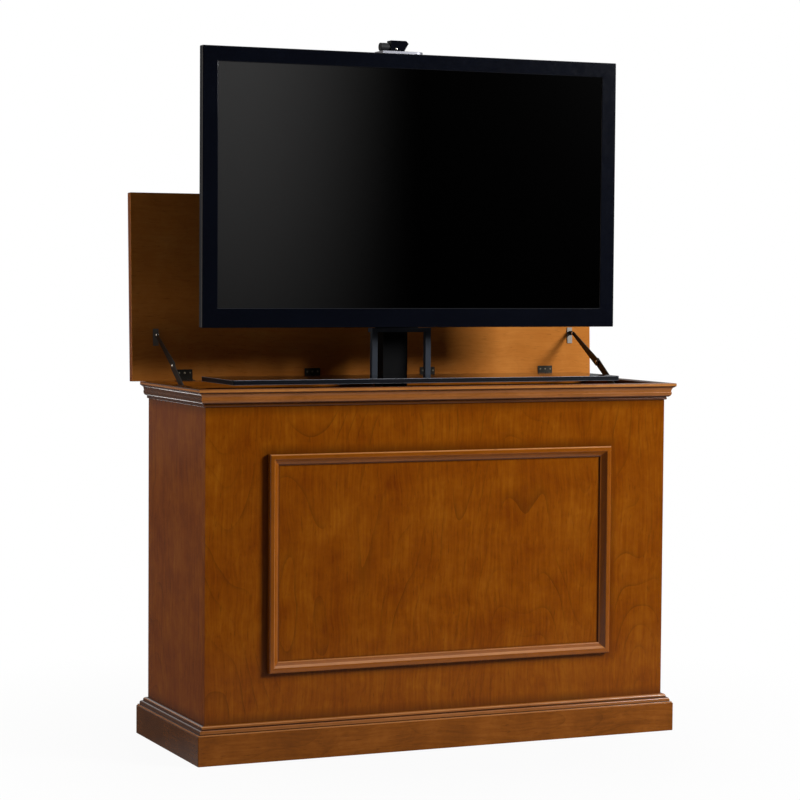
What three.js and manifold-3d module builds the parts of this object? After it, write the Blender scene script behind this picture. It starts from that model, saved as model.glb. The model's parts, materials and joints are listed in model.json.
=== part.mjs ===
// TV lift cabinet, with the television raised and the lid open.
// Millimetres, +Z up, front of the cabinet towards -Y.
// The origin lies under the middle of the body, on the floor.

import * as THREE from 'three';
import { mergeVertices } from 'three/addons/utils/BufferGeometryUtils.js';
import Module from 'manifold-3d';

const wasm = await Module();
wasm.setup();

// Body of the cabinet.
const BODY_WIDTH = 1270;
const BODY_DEPTH = 436;
const BODY_TOP = 913;
const PANEL = 18;
const FLOOR_PANEL = 16;

// Board at the top of the back, which carries the hinges.
const HINGE_RAIL_DEPTH = 63;
const HINGE_RAIL_OVERHANG = 29;

// Hole in the back panel for the power cord.
const CORD_HOLE_RADIUS = 16;
const CORD_HOLE_SIDE_MARGIN = 167;
const CORD_HOLE_ABOVE_FLOOR_PANEL = 114;

// Plinth boards and the small moulding on top of them. Shares are of the
// moulding's reach out from the body and of its height.
const PLINTH_OUT = 24;
const PLINTH_HEIGHT = 73;
const BASE_CAP_OUT = 21.5;
const BASE_CAP_HEIGHT = 23;
const BASE_CAP_SHARES = [
  [0, 0], [1, 0], [1, 0.2], [0.93, 0.33], [0.79, 0.43], [0.6, 0.5],
  [0.51, 0.54], [0.51, 0.7], [0.465, 0.85], [0.325, 0.96], [0.14, 1], [0, 1],
];

// Crown moulding: foot, ovolo, cove and lip.
const CROWN_OUT = 23;
const CROWN_HEIGHT = 43;
const CROWN_SHARES = [
  [0, 0], [0.17, 0], [0.17, 0.14], [0.28, 0.17], [0.46, 0.27], [0.59, 0.37], [0.65, 0.49],
  [0.65, 0.6], [0.68, 0.67], [0.76, 0.74], [0.87, 0.79], [1, 0.83], [1, 0.965], [0.935, 1], [0, 1],
];

// Picture-frame moulding on the front panel. Shares are of the width, measured
// in from its outer edge, and of the height above the panel.
const MOULDING_WIDTH = 28;
const MOULDING_PROUD = 15;
const MOULDING_SHARES = [
  [0, 0], [0, 0.77], [0.04, 0.92], [0.14, 1], [0.36, 1], [0.45, 0.93], [0.52, 0.7],
  [0.625, 0.5], [0.77, 0.41], [0.82, 0.47], [0.91, 0.47], [0.965, 0.37], [1, 0.2], [1, 0],
];
const MOULDING_SIDE_MARGIN = 163;
const MOULDING_TOP_MARGIN = 160.5;
const MOULDING_BOTTOM_MARGIN = 118.5;

// Gap left on each side of a mitre.
const MITRE_GAP = 0.15;

// Lid and its four hinges.
const LID_SIDE_OVERHANG = 10;
const LID_LENGTH = 487;
const LID_THICKNESS = 22;
const LID_LEAN_DEG = 2.3;
const LID_BELOW_RAIL_TOP = 1.5;
const HINGE_END_INSET = 142;
const HINGE_INNER_X = 168;
const HINGE_WIDTH = 44;
const HINGE_LEAF = 1.2;
const HINGE_LEAF_LENGTH = 20;
const HINGE_LID_LEAF_LENGTH = 27;
const HINGE_BARREL_RADIUS = 2.2;
const HINGE_PIN_RADIUS = 1.2;
const HINGE_PIN_CLEARANCE = 0.05;
const HINGE_BARREL_GAP = 0.3;
const HINGE_SEAT_GAP = 0.25;
const HINGE_BARREL_BEHIND_RAIL = 1.3;
const HINGE_PIN_ABOVE_RAIL = 1.3;
const HINGE_FACE_OFFSET = 2.7;

// Folding stays between the lid and the side panels.
const STAY_LID_OFFSET = 13.2;
const STAY_LID_RISE = 116.7;
const STAY_KNEE_FORWARD = 137;
const STAY_KNEE_DROP = 74;
const STAY_FOOT_FORWARD = 108;
const STAY_FOOT_DROP = 72;
const STAY_BAR = 2.7;
const STAY_GAP = 0.3;
const STAY_PLATE = 2;
const STAY_FOOT_BOSS = 4;
const STAY_LID_END_RADIUS = 5;
const STAY_KNEE_RADIUS = 11;
const STAY_FOOT_END_RADIUS = 9;
const STAY_EAR_RADIUS = 6;
const STAY_LID_PLATE_HEIGHT = 44;
const STAY_LID_PLATE_WIDTH = 15;
const STAY_LID_PLATE_DROP = 6;
const STAY_FOOT_PLATE_LENGTH = 40;
const STAY_FOOT_PLATE_HEIGHT = 14;

// Lift: three nested box tubes that slide in each other.
const TRAVEL = 889.5;
const TUBE_WALL = 3;
const TUBE_GAP = 0.4;
const MAST_BACK_GAP = 51.6;
const MIDDLE_WIDTH = 70;
const MIDDLE_DEPTH = 56;
const BASE_PLATE = 8;
const BASE_PLATE_WIDTH = 340;
const BASE_PLATE_DEPTH = 94;
const OUTER_BELOW_BODY_TOP = 58;
const MIDDLE_ABOVE_OUTER = 0.25;
const MIDDLE_LENGTH = 825;
const INNER_LENGTH = 832;
const INNER_ABOVE_TV = 2;
const STRAP_WIDTH = 140;
const STRAP_HEIGHT = 40;
const STRAP_BELOW_OUTER_TOP = 45;

// Motor beside the foot of the lift, and its control box with the power inlet.
const GEARBOX_WIDTH = 62;
const GEARBOX_DEPTH = 58;
const GEARBOX_HEIGHT = 72;
const MOTOR_RADIUS = 27;
const MOTOR_HEIGHT = 168;
const CONTROL_BOX_GAP = 40;
const CONTROL_BOX_WIDTH = 160;
const CONTROL_BOX_DEPTH = 72;
const CONTROL_BOX_HEIGHT = 46;
const CONTROL_BOX_FROM_BACK = 16;
const INLET_WIDTH = 28;
const INLET_HEIGHT = 22;
const INLET_DEPTH = 18;

// Parts that carry the television.
const MOUNT_CLEARANCE = 5.6;
const MOUNT_PLATE = 4;
const MOUNT_WIDTH = 120;
const CROSS_BAR_END = 20;
const CROSS_BAR_HEIGHT = 36;
const CROSS_BAR_DEPTH = 22;
const CROSS_BAR_SPACING = 234;
const RAIL_WIDTH = 30;
const RAIL_DEPTH = 20;
const RAIL_LENGTH = 400;
const RAIL_SPACING = 400;

// Television.
const TV_SIDE_CLEARANCE = 36.5;
const TV_HEIGHT = 699;
const TV_ABOVE_SHELF = 126;
const FRAME_DEPTH = 22;
const BEZEL_SIDE = 42;
const BEZEL_TOP = 38.5;
const BEZEL_BOTTOM = 49.5;
const SCREEN_RECESS = 2.5;
const SCREEN_DEPTH = 12;
const COVER_DEPTH = 48;
const COVER_EDGE_DEPTH = 16;
const COVER_INSET = 8;
const COVER_BULGE_INSET = 82;
const COVER_WALL = 3;

// Shelf that rises under the television, and the bracket that holds it.
const SHELF_ABOVE_BODY = 5;
const SHELF_SIDE_CLEARANCE = 78;
const SHELF_FRONT_CLEARANCE = 51;
const SHELF_THICKNESS = 12;
const SHELF_CORNER = 6;
const SHELF_BACK_CLEARANCE = 3.6;
const BRACKET_WIDTH = 168;
const BRACKET_DEPTH = 28;
const BRACKET_BAR = 11.5;
const BRACKET_BELOW_TV = 3.5;
const UPRIGHT_WIDTH = 16;
const UPRIGHT_DEPTH = 14;
const UPRIGHT_CLEARANCE = 0.3;
const BRACKET_FOOT = 2.2;

// Lid pusher on top of the lift.
const PUSHER_PLATE = 12;
const PUSHER_PLATE_LENGTH = 123;
const PUSHER_PLATE_LEFT = -41;
const PUSHER_DEPTH = 54;
const PUSHER_BLOCK_LEFT = -12;
const PUSHER_BLOCK_WIDTH = 51;
const PUSHER_BLOCK_DEPTH = 26;
const PUSHER_BLOCK_HEIGHT = 28.5;
const PUSHER_CHAMFER = 7;
const PUSHER_TAPER = 13;
const ROLLER_LENGTH = 25.7;
const ROLLER_RADIUS = 11;
const ROLLER_GAP = 0.3;
const ROLLER_AXLE_RADIUS = 3;
const ROLLER_AXLE_CLEARANCE = 0.08;

// How far a cutting tool runs past what it cuts.
const OVERRUN = 5;

// Facets on round pieces.
const ROUND = 32;
const SMALL_ROUND = 20;

const WOOD = { color: 0x8a4a1c, roughness: 0.4, metalness: 0 };
const BLACK_METAL = { color: 0x16171a, roughness: 0.45, metalness: 0.4 };
const DARK_METAL = { color: 0x2b2f36, roughness: 0.4, metalness: 0.6 };
const ALUMINIUM = { color: 0xa9abb0, roughness: 0.35, metalness: 0.9 };
const GLOSS_BLACK = { color: 0x0b0c10, roughness: 0.2, metalness: 0 };
const SCREEN_BLACK = { color: 0x050506, roughness: 0.15, metalness: 0 };
const GREY_RUBBER = { color: 0x3c3d40, roughness: 0.8, metalness: 0 };
const BLACK_LACQUER = { color: 0x101114, roughness: 0.25, metalness: 0 };

// Places worked out from the sizes above.
const halfWidth = BODY_WIDTH / 2;
const innerHalfWidth = halfWidth - PANEL;
const front = -BODY_DEPTH / 2;
const back = BODY_DEPTH / 2;
const baseCapTop = PLINTH_HEIGHT + BASE_CAP_HEIGHT;
const railBottom = BODY_TOP - PANEL;
const railBack = back + HINGE_RAIL_OVERHANG;
const pinY = railBack + HINGE_BARREL_BEHIND_RAIL + HINGE_BARREL_RADIUS;
const pinZ = BODY_TOP + HINGE_PIN_ABOVE_RAIL;
const lidHalfWidth = halfWidth + CROWN_OUT + LID_SIDE_OVERHANG;
const lidBottom = BODY_TOP - LID_BELOW_RAIL_TOP;
const lidLeafBottom = pinZ + HINGE_BARREL_RADIUS + HINGE_BARREL_GAP;
const lidFace = pinY + HINGE_FACE_OFFSET;
const outerBottom = FLOOR_PANEL + BASE_PLATE;
const outerTop = BODY_TOP - OUTER_BELOW_BODY_TOP;
const tubeStep = TUBE_WALL + TUBE_GAP;
const outerHalfWidth = MIDDLE_WIDTH / 2 + tubeStep;
const outerHalfDepth = MIDDLE_DEPTH / 2 + tubeStep;
const innerTubeHalfWidth = MIDDLE_WIDTH / 2 - tubeStep;
const innerTubeHalfDepth = MIDDLE_DEPTH / 2 - tubeStep;
const mastY = back - PANEL - MAST_BACK_GAP - outerHalfDepth;
const columnFront = mastY - outerHalfDepth;
const mountBack = columnFront - MOUNT_CLEARANCE;
const mountFront = mountBack - MOUNT_PLATE;
const shelfBottom = BODY_TOP + SHELF_ABOVE_BODY;
const shelfTop = shelfBottom + SHELF_THICKNESS;
const tvBottom = shelfTop + TV_ABOVE_SHELF;
const tvTop = tvBottom + TV_HEIGHT;
const tvMiddle = (tvBottom + tvTop) / 2;
const tvHalfWidth = innerHalfWidth - TV_SIDE_CLEARANCE;
const railBackFace = mountFront - CROSS_BAR_DEPTH;
const coverBack = railBackFace - RAIL_DEPTH;
const frameBack = coverBack - COVER_DEPTH;
const tvFront = frameBack - FRAME_DEPTH;
const bracketTop = tvBottom - BRACKET_BELOW_TV;
const bracketBottom = bracketTop - BRACKET_BAR;
const innerTop = tvTop + INNER_ABOVE_TV;
const flangeTop = innerTop + MOUNT_PLATE;
const pusherPlateTop = flangeTop + PUSHER_PLATE;

const LEFTWARDS = new THREE.Vector3(-1, 0, 0);
const RIGHTWARDS = new THREE.Vector3(1, 0, 0);
const FORWARDS = new THREE.Vector3(0, -1, 0);
const BACKWARDS = new THREE.Vector3(0, 1, 0);
const UPWARDS = new THREE.Vector3(0, 0, 1);
const DOWNWARDS = new THREE.Vector3(0, 0, -1);

const cabinet = new THREE.Group();
cabinet.name = 'tv_lift_cabinet';

function add(name, geometry, finish) {
  const mesh = new THREE.Mesh(geometry, new THREE.MeshStandardMaterial(finish));
  mesh.name = name;
  cabinet.add(mesh);
}

// A box from its limits along each axis.
function box([x0, x1], [y0, y1], [z0, z1]) {
  const geometry = new THREE.BoxGeometry(Math.abs(x1 - x0), Math.abs(y1 - y0), Math.abs(z1 - z0));
  geometry.translate((x0 + x1) / 2, (y0 + y1) / 2, (z0 + z1) / 2);
  return geometry;
}

// Limits that lie evenly about a middle.
function around(middle, size) {
  return [middle - size / 2, middle + size / 2];
}

// A round bar along X.
function barAlongX(radius, [x0, x1], y, z, facets) {
  const geometry = new THREE.CylinderGeometry(radius, radius, Math.abs(x1 - x0), facets);
  geometry.rotateZ(Math.PI / 2);
  geometry.translate((x0 + x1) / 2, y, z);
  return geometry;
}

function solid(geometry) {
  const bare = geometry.clone();
  bare.deleteAttribute('normal');
  bare.deleteAttribute('uv');
  const merged = mergeVertices(bare);
  return new wasm.Manifold(new wasm.Mesh({
    numProp: 3,
    vertProperties: new Float32Array(merged.attributes.position.array),
    triVerts: new Uint32Array(merged.index.array),
  }));
}

function shell(body) {
  const mesh = body.getMesh();
  const geometry = new THREE.BufferGeometry();
  geometry.setAttribute('position', new THREE.BufferAttribute(mesh.vertProperties, mesh.numProp));
  geometry.setIndex(new THREE.BufferAttribute(mesh.triVerts, 1));
  return geometry;
}

function join(...geometries) {
  return shell(geometries.map(solid).reduce((whole, next) => whole.add(next)));
}

function cut(geometry, ...tools) {
  return shell(tools.map(solid).reduce((rest, tool) => rest.subtract(tool), solid(geometry)));
}

// A moulding with mitred ends. Its outline lies along the two given directions,
// and a slope moves an end with the distance along the first one.
function moulding(outline, start, across, proud, length, startSlope, endSlope) {
  const shape = new THREE.Shape(outline.map(([a, b]) => new THREE.Vector2(a, b)));
  const geometry = new THREE.ExtrudeGeometry(shape, { depth: length, bevelEnabled: false });
  const position = geometry.attributes.position;
  for (let i = 0; i < position.count; i += 1) {
    const atEnd = position.getZ(i) > length / 2;
    const slope = atEnd ? endSlope : startSlope;
    const move = slope * position.getX(i) + Math.abs(slope) * MITRE_GAP;
    position.setZ(i, atEnd ? length - move : move);
  }
  const along = new THREE.Vector3().crossVectors(across, proud);
  geometry.applyMatrix4(new THREE.Matrix4().makeBasis(across, proud, along));
  geometry.translate(...start);
  return geometry;
}

function scaled(shares, width, height) {
  return shares.map(([a, b]) => [a * width, b * height]);
}

// Body panels.
function addPanels() {
  const insideX = [-innerHalfWidth, innerHalfWidth];
  add('front_panel', box([-halfWidth, halfWidth], [front, front + PANEL], [0, BODY_TOP]), WOOD);
  for (const [side, sign] of [['left', -1], ['right', 1]]) {
    const sideX = [sign * innerHalfWidth, sign * halfWidth];
    add(`${side}_side_panel`, box(sideX, [front + PANEL, back], [0, BODY_TOP]), WOOD);
  }
  add('floor_panel', box(insideX, [front + PANEL, back], [0, FLOOR_PANEL]), WOOD);
  const cordHole = new THREE.CylinderGeometry(
    CORD_HOLE_RADIUS, CORD_HOLE_RADIUS, PANEL + 2 * OVERRUN, ROUND,
  );
  cordHole.translate(
    innerHalfWidth - CORD_HOLE_SIDE_MARGIN, back - PANEL / 2, FLOOR_PANEL + CORD_HOLE_ABOVE_FLOOR_PANEL,
  );
  const backPanel = box(insideX, [back - PANEL, back], [FLOOR_PANEL, railBottom]);
  add('back_panel', cut(backPanel, cordHole), WOOD);
  add('hinge_rail', join(
    box(insideX, [railBack - HINGE_RAIL_DEPTH, railBack], [railBottom, BODY_TOP]),
    box([-halfWidth, halfWidth], [back, railBack], [railBottom, BODY_TOP]),
  ), WOOD);
}

// Plinth boards, the moulding on them and the crown, round the body.
function addMouldings() {
  const sides = {
    front: { corner: [halfWidth, front], out: FORWARDS, length: BODY_WIDTH, crownEnds: [-1, -1] },
    left: { corner: [-halfWidth, front], out: LEFTWARDS, length: BODY_DEPTH, crownEnds: [-1, 0] },
    right: { corner: [halfWidth, back], out: RIGHTWARDS, length: BODY_DEPTH, crownEnds: [0, -1] },
    back: { corner: [-halfWidth, back], out: BACKWARDS, length: BODY_WIDTH },
  };
  const plinth = [[0, 0], [PLINTH_OUT, 0], [PLINTH_OUT, PLINTH_HEIGHT], [0, PLINTH_HEIGHT]];
  const baseCap = scaled(BASE_CAP_SHARES, BASE_CAP_OUT, BASE_CAP_HEIGHT);
  const crown = scaled(CROWN_SHARES, CROWN_OUT, CROWN_HEIGHT);
  for (const [side, { corner, out, length, crownEnds }] of Object.entries(sides)) {
    add(`plinth_${side}`, moulding(plinth, [...corner, 0], out, UPWARDS, length, -1, -1), WOOD);
    const capStart = [...corner, PLINTH_HEIGHT];
    add(`base_cap_${side}`, moulding(baseCap, capStart, out, UPWARDS, length, -1, -1), WOOD);
    if (crownEnds) {
      const crownStart = [...corner, BODY_TOP - CROWN_HEIGHT];
      add(`crown_${side}`, moulding(crown, crownStart, out, UPWARDS, length, ...crownEnds), WOOD);
    }
  }
}

// Picture-frame moulding on the front panel.
function addFrameMoulding() {
  const outline = scaled(MOULDING_SHARES, MOULDING_WIDTH, MOULDING_PROUD);
  const half = halfWidth - MOULDING_SIDE_MARGIN;
  const bottom = baseCapTop + MOULDING_BOTTOM_MARGIN;
  const top = BODY_TOP - MOULDING_TOP_MARGIN;
  const bars = {
    top: [[half, front, top], DOWNWARDS, 2 * half],
    bottom: [[-half, front, bottom], UPWARDS, 2 * half],
    left: [[-half, front, top], RIGHTWARDS, top - bottom],
    right: [[half, front, bottom], LEFTWARDS, top - bottom],
  };
  for (const [side, [start, across, length]] of Object.entries(bars)) {
    add(`frame_moulding_${side}`, moulding(outline, start, across, FORWARDS, length, 1, 1), WOOD);
  }
}

// What the lid carries is shaped upright over the hinge line and then leant back.
function lean(geometry) {
  geometry.translate(0, -pinY, -pinZ);
  geometry.rotateX(-THREE.MathUtils.degToRad(LID_LEAN_DEG));
  geometry.translate(0, pinY, pinZ);
  return geometry;
}

// A hinge is a rail leaf with the pin and two knuckles, and a lid leaf with one.
function addHinge(number, x) {
  const leafX = around(x, HINGE_WIDTH);
  const third = HINGE_WIDTH / 3;
  const barrelFront = pinY - HINGE_BARREL_RADIUS;
  const railLeaf = join(
    box(leafX, [pinY - HINGE_LEAF_LENGTH, pinY], [BODY_TOP, BODY_TOP + HINGE_LEAF]),
    barAlongX(HINGE_BARREL_RADIUS, leafX, pinY, pinZ, SMALL_ROUND),
  );
  const notch = box(
    around(x, third + 2 * HINGE_BARREL_GAP),
    [barrelFront - HINGE_BARREL_GAP, pinY + OVERRUN],
    [BODY_TOP - OVERRUN, pinZ + OVERRUN],
  );
  const pin = barAlongX(HINGE_PIN_RADIUS, leafX, pinY, pinZ, SMALL_ROUND);
  add(`hinge_${number}_rail_leaf`, join(cut(railLeaf, notch), pin), DARK_METAL);

  const leafBack = lidFace - HINGE_SEAT_GAP;
  const leafY = [leafBack - HINGE_LEAF, leafBack];
  const knuckleX = around(x, third);
  const boreRadius = HINGE_PIN_RADIUS + HINGE_PIN_CLEARANCE;
  add(`hinge_${number}_lid_leaf`, lean(cut(
    join(
      box(leafX, leafY, [lidLeafBottom, pinZ + HINGE_LID_LEAF_LENGTH]),
      box(knuckleX, leafY, [pinZ, lidLeafBottom + HINGE_LEAF]),
      barAlongX(HINGE_BARREL_RADIUS, knuckleX, pinY, pinZ, SMALL_ROUND),
    ),
    barAlongX(boreRadius, leafX, pinY, pinZ, SMALL_ROUND),
  )), DARK_METAL);
}

function addLid() {
  const panel = box(
    [-lidHalfWidth, lidHalfWidth], [lidFace, lidFace + LID_THICKNESS], [lidBottom, lidBottom + LID_LENGTH],
  );
  add('lid_panel', lean(panel), WOOD);
  const outerX = lidHalfWidth - HINGE_END_INSET;
  [-outerX, -HINGE_INNER_X, HINGE_INNER_X, outerX].forEach((x, index) => addHinge(index + 1, x));
}

// A flat bar with round ends between two points of the side view. It tapers from
// one end radius to the other.
function stayBar([startRadius, endRadius], from, to, [x0, x1]) {
  const run = Math.hypot(to.y - from.y, to.z - from.z);
  const touch = Math.acos((startRadius - endRadius) / run);
  const shape = new THREE.Shape();
  shape.absarc(0, 0, startRadius, touch, 2 * Math.PI - touch, false);
  shape.absarc(run, 0, endRadius, -touch, touch, false);
  const geometry = new THREE.ExtrudeGeometry(shape, {
    depth: Math.abs(x1 - x0), bevelEnabled: false, curveSegments: ROUND / 4,
  });
  geometry.applyMatrix4(new THREE.Matrix4().makeBasis(BACKWARDS, UPWARDS, RIGHTWARDS));
  geometry.rotateX(Math.atan2(to.z - from.z, to.y - from.y));
  geometry.translate(Math.min(x0, x1), from.y, from.z);
  return geometry;
}

// A stay's pieces lie side by side, from the side panel inwards.
function addStay(side, sign) {
  const lidPoint = { y: lidFace - STAY_LID_OFFSET, z: pinZ + STAY_LID_RISE };
  const knee = { y: lidPoint.y - STAY_KNEE_FORWARD, z: lidPoint.z - STAY_KNEE_DROP };
  const foot = { y: knee.y - STAY_FOOT_FORWARD, z: knee.z - STAY_FOOT_DROP };
  const plateIn = innerHalfWidth - STAY_PLATE;
  const bossIn = plateIn - STAY_FOOT_BOSS;
  const lowerOut = bossIn - STAY_GAP;
  const upperOut = lowerOut - STAY_BAR - STAY_GAP;
  const earOut = upperOut - STAY_BAR - STAY_GAP;
  const layer = (outer) => [sign * outer, sign * (outer - STAY_BAR)];
  add(`stay_${side}_foot`, join(
    box(
      [sign * plateIn, sign * innerHalfWidth],
      around(foot.y, STAY_FOOT_PLATE_LENGTH),
      around(foot.z, STAY_FOOT_PLATE_HEIGHT),
    ),
    barAlongX(
      STAY_EAR_RADIUS, [sign * bossIn, sign * (plateIn + STAY_PLATE / 2)], foot.y, foot.z, ROUND,
    ),
  ), BLACK_METAL);
  const lowerRadii = [STAY_FOOT_END_RADIUS, STAY_KNEE_RADIUS];
  add(`stay_${side}_lower_arm`, stayBar(lowerRadii, foot, knee, layer(lowerOut)), BLACK_METAL);
  const upperRadii = [STAY_KNEE_RADIUS, STAY_LID_END_RADIUS];
  add(`stay_${side}_upper_arm`, stayBar(upperRadii, knee, lidPoint, layer(upperOut)), BLACK_METAL);
  const seat = lidFace - HINGE_SEAT_GAP;
  const earRadii = [STAY_EAR_RADIUS, STAY_EAR_RADIUS];
  const ear = stayBar(earRadii, lidPoint, { y: seat, z: lidPoint.z }, layer(earOut));
  const plate = box(
    around(sign * (earOut - STAY_BAR / 2), STAY_LID_PLATE_WIDTH),
    [seat - STAY_PLATE, seat],
    around(lidPoint.z - STAY_LID_PLATE_DROP, STAY_LID_PLATE_HEIGHT),
  );
  const beyondSeat = box(
    [-lidHalfWidth, lidHalfWidth], [seat, seat + STAY_EAR_RADIUS + OVERRUN], around(lidPoint.z, LID_LENGTH),
  );
  add(`stay_${side}_lid_bracket`, lean(cut(join(ear, plate), beyondSeat)), BLACK_METAL);
}

function tube(tubeHalfWidth, tubeHalfDepth, [bottom, top]) {
  const inHalfWidth = tubeHalfWidth - TUBE_WALL;
  const inHalfDepth = tubeHalfDepth - TUBE_WALL;
  return cut(
    box([-tubeHalfWidth, tubeHalfWidth], around(mastY, 2 * tubeHalfDepth), [bottom, top]),
    box([-inHalfWidth, inHalfWidth], around(mastY, 2 * inHalfDepth), [bottom - OVERRUN, top + OVERRUN]),
  );
}

function addLift() {
  add('lift_base_plate', box(
    around(0, BASE_PLATE_WIDTH), [columnFront, columnFront + BASE_PLATE_DEPTH], [FLOOR_PANEL, outerBottom],
  ), BLACK_METAL);
  const middleTop = outerTop + MIDDLE_ABOVE_OUTER + TRAVEL / 2;
  const middleZ = [middleTop - MIDDLE_LENGTH, middleTop];
  add('outer_column', tube(outerHalfWidth, outerHalfDepth, [outerBottom, outerTop]), BLACK_METAL);
  add('middle_column', tube(MIDDLE_WIDTH / 2, MIDDLE_DEPTH / 2, middleZ), BLACK_METAL);
  const innerZ = [innerTop - INNER_LENGTH, innerTop];
  add('inner_column', tube(innerTubeHalfWidth, innerTubeHalfDepth, innerZ), BLACK_METAL);
  const strapTop = outerTop - STRAP_BELOW_OUTER_TOP;
  add('column_strap', box(
    around(0, STRAP_WIDTH), [mastY + outerHalfDepth, back - PANEL], [strapTop - STRAP_HEIGHT, strapTop],
  ), BLACK_METAL);
}

function addMotor() {
  const right = -outerHalfWidth;
  const left = right - GEARBOX_WIDTH;
  const gearboxTop = outerBottom + GEARBOX_HEIGHT;
  const motor = new THREE.CylinderGeometry(MOTOR_RADIUS, MOTOR_RADIUS, MOTOR_HEIGHT, ROUND);
  motor.rotateX(Math.PI / 2);
  motor.translate((left + right) / 2, mastY, gearboxTop + MOTOR_HEIGHT / 2);
  const gearbox = box([left, right], around(mastY, GEARBOX_DEPTH), [outerBottom, gearboxTop]);
  add('lift_motor', join(gearbox, motor), BLACK_METAL);
}

function addControlBox() {
  const boxLeft = BASE_PLATE_WIDTH / 2 + CONTROL_BOX_GAP;
  const boxBack = back - PANEL - CONTROL_BOX_FROM_BACK;
  const boxTop = FLOOR_PANEL + CONTROL_BOX_HEIGHT;
  const boxRight = boxLeft + CONTROL_BOX_WIDTH;
  const inlet = box(
    [boxRight - INLET_DEPTH, boxRight + OVERRUN],
    around(boxBack - CONTROL_BOX_DEPTH / 2, INLET_WIDTH),
    around((FLOOR_PANEL + boxTop) / 2, INLET_HEIGHT),
  );
  const body = box(
    [boxLeft, boxRight], [boxBack - CONTROL_BOX_DEPTH, boxBack], [FLOOR_PANEL, boxTop],
  );
  add('control_box', cut(body, inlet), GLOSS_BLACK);
}

// The mount plate hangs from the top of the inner column and carries the rails.
function addMount() {
  const mountX = around(0, MOUNT_WIDTH);
  add('mount_plate', join(
    box(mountX, [mountFront, mountBack], [bracketBottom, flangeTop]),
    box(mountX, [mountFront, mastY + innerTubeHalfDepth], [innerTop, flangeTop]),
  ), BLACK_METAL);
  const crossBarX = around(0, RAIL_SPACING + RAIL_WIDTH + 2 * CROSS_BAR_END);
  for (const [place, sign] of [['lower', -1], ['upper', 1]]) {
    const middle = tvMiddle + sign * CROSS_BAR_SPACING / 2;
    const barZ = around(middle, CROSS_BAR_HEIGHT);
    add(`cross_bar_${place}`, box(crossBarX, [railBackFace, mountFront], barZ), BLACK_METAL);
  }
  for (const [side, sign] of [['left', -1], ['right', 1]]) {
    add(`tv_rail_${side}`, box(
      around(sign * RAIL_SPACING / 2, RAIL_WIDTH), [coverBack, railBackFace], around(tvMiddle, RAIL_LENGTH),
    ), BLACK_METAL);
  }
}

// Television: front frame, screen and hollow rear cover.
function addTelevision() {
  const screenX = [BEZEL_SIDE - tvHalfWidth, tvHalfWidth - BEZEL_SIDE];
  const screenZ = [tvBottom + BEZEL_BOTTOM, tvTop - BEZEL_TOP];
  add('tv_front_frame', cut(
    box([-tvHalfWidth, tvHalfWidth], [tvFront, frameBack], [tvBottom, tvTop]),
    box(screenX, [tvFront - OVERRUN, frameBack + OVERRUN], screenZ),
  ), GLOSS_BLACK);
  const screenFront = tvFront + SCREEN_RECESS;
  add('tv_screen', box(screenX, [screenFront, screenFront + SCREEN_DEPTH], screenZ), SCREEN_BLACK);
  const stepped = (inset, faceInset, open) => {
    const edgeInset = COVER_INSET + inset;
    const bulgeInset = edgeInset + COVER_BULGE_INSET;
    return join(
      box(
        [edgeInset - tvHalfWidth, tvHalfWidth - edgeInset],
        [frameBack - open, frameBack + COVER_EDGE_DEPTH - faceInset],
        [tvBottom + edgeInset, tvTop - edgeInset],
      ),
      box(
        [bulgeInset - tvHalfWidth, tvHalfWidth - bulgeInset],
        [frameBack - open, coverBack - faceInset],
        [tvBottom + bulgeInset, tvTop - bulgeInset],
      ),
    );
  };
  add('tv_rear_cover', cut(stepped(0, 0, 0), stepped(COVER_WALL, COVER_WALL, OVERRUN)), GLOSS_BLACK);
}

// The bracket's uprights pass through the shelf to the foot that carries it.
function addShelf() {
  const shelfBack = columnFront - SHELF_BACK_CLEARANCE;
  const half = innerHalfWidth - SHELF_SIDE_CLEARANCE;
  const cornerX = half - SHELF_CORNER;
  const cornerY = front + PANEL + SHELF_FRONT_CLEARANCE + SHELF_CORNER;
  const shape = new THREE.Shape();
  shape.moveTo(-half, shelfBack);
  shape.lineTo(-half, cornerY);
  shape.absarc(-cornerX, cornerY, SHELF_CORNER, Math.PI, 3 * Math.PI / 2);
  shape.absarc(cornerX, cornerY, SHELF_CORNER, 3 * Math.PI / 2, 2 * Math.PI);
  shape.lineTo(half, shelfBack);
  const shelf = new THREE.ExtrudeGeometry(shape, {
    depth: SHELF_THICKNESS, bevelEnabled: false, curveSegments: ROUND / 8,
  });
  shelf.translate(0, 0, shelfBottom);
  const outer = BRACKET_WIDTH / 2;
  const inner = outer - UPRIGHT_WIDTH;
  const bracketFront = mountFront - BRACKET_DEPTH;
  const uprightY = [bracketFront, bracketFront + UPRIGHT_DEPTH];
  const footTop = shelfBottom - UPRIGHT_CLEARANCE;
  const footBottom = footTop - BRACKET_FOOT;
  const upright = (sign) => (
    box([sign * inner, sign * outer], uprightY, [footBottom, bracketTop])
  );
  const uprightHole = (sign) => box(
    [sign * (inner - UPRIGHT_CLEARANCE), sign * (outer + UPRIGHT_CLEARANCE)],
    [uprightY[0] - UPRIGHT_CLEARANCE, uprightY[1] + UPRIGHT_CLEARANCE],
    [shelfBottom - OVERRUN, shelfTop + OVERRUN],
  );
  add('lift_shelf', cut(shelf, uprightHole(-1), uprightHole(1)), BLACK_LACQUER);
  add('shelf_bracket', join(
    box([-outer, outer], [bracketFront, mountFront], [bracketBottom, bracketTop]),
    box([-outer, outer], [bracketFront, mountFront], [footBottom, footTop]),
    upright(-1),
    upright(1),
  ), DARK_METAL);
}

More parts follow.
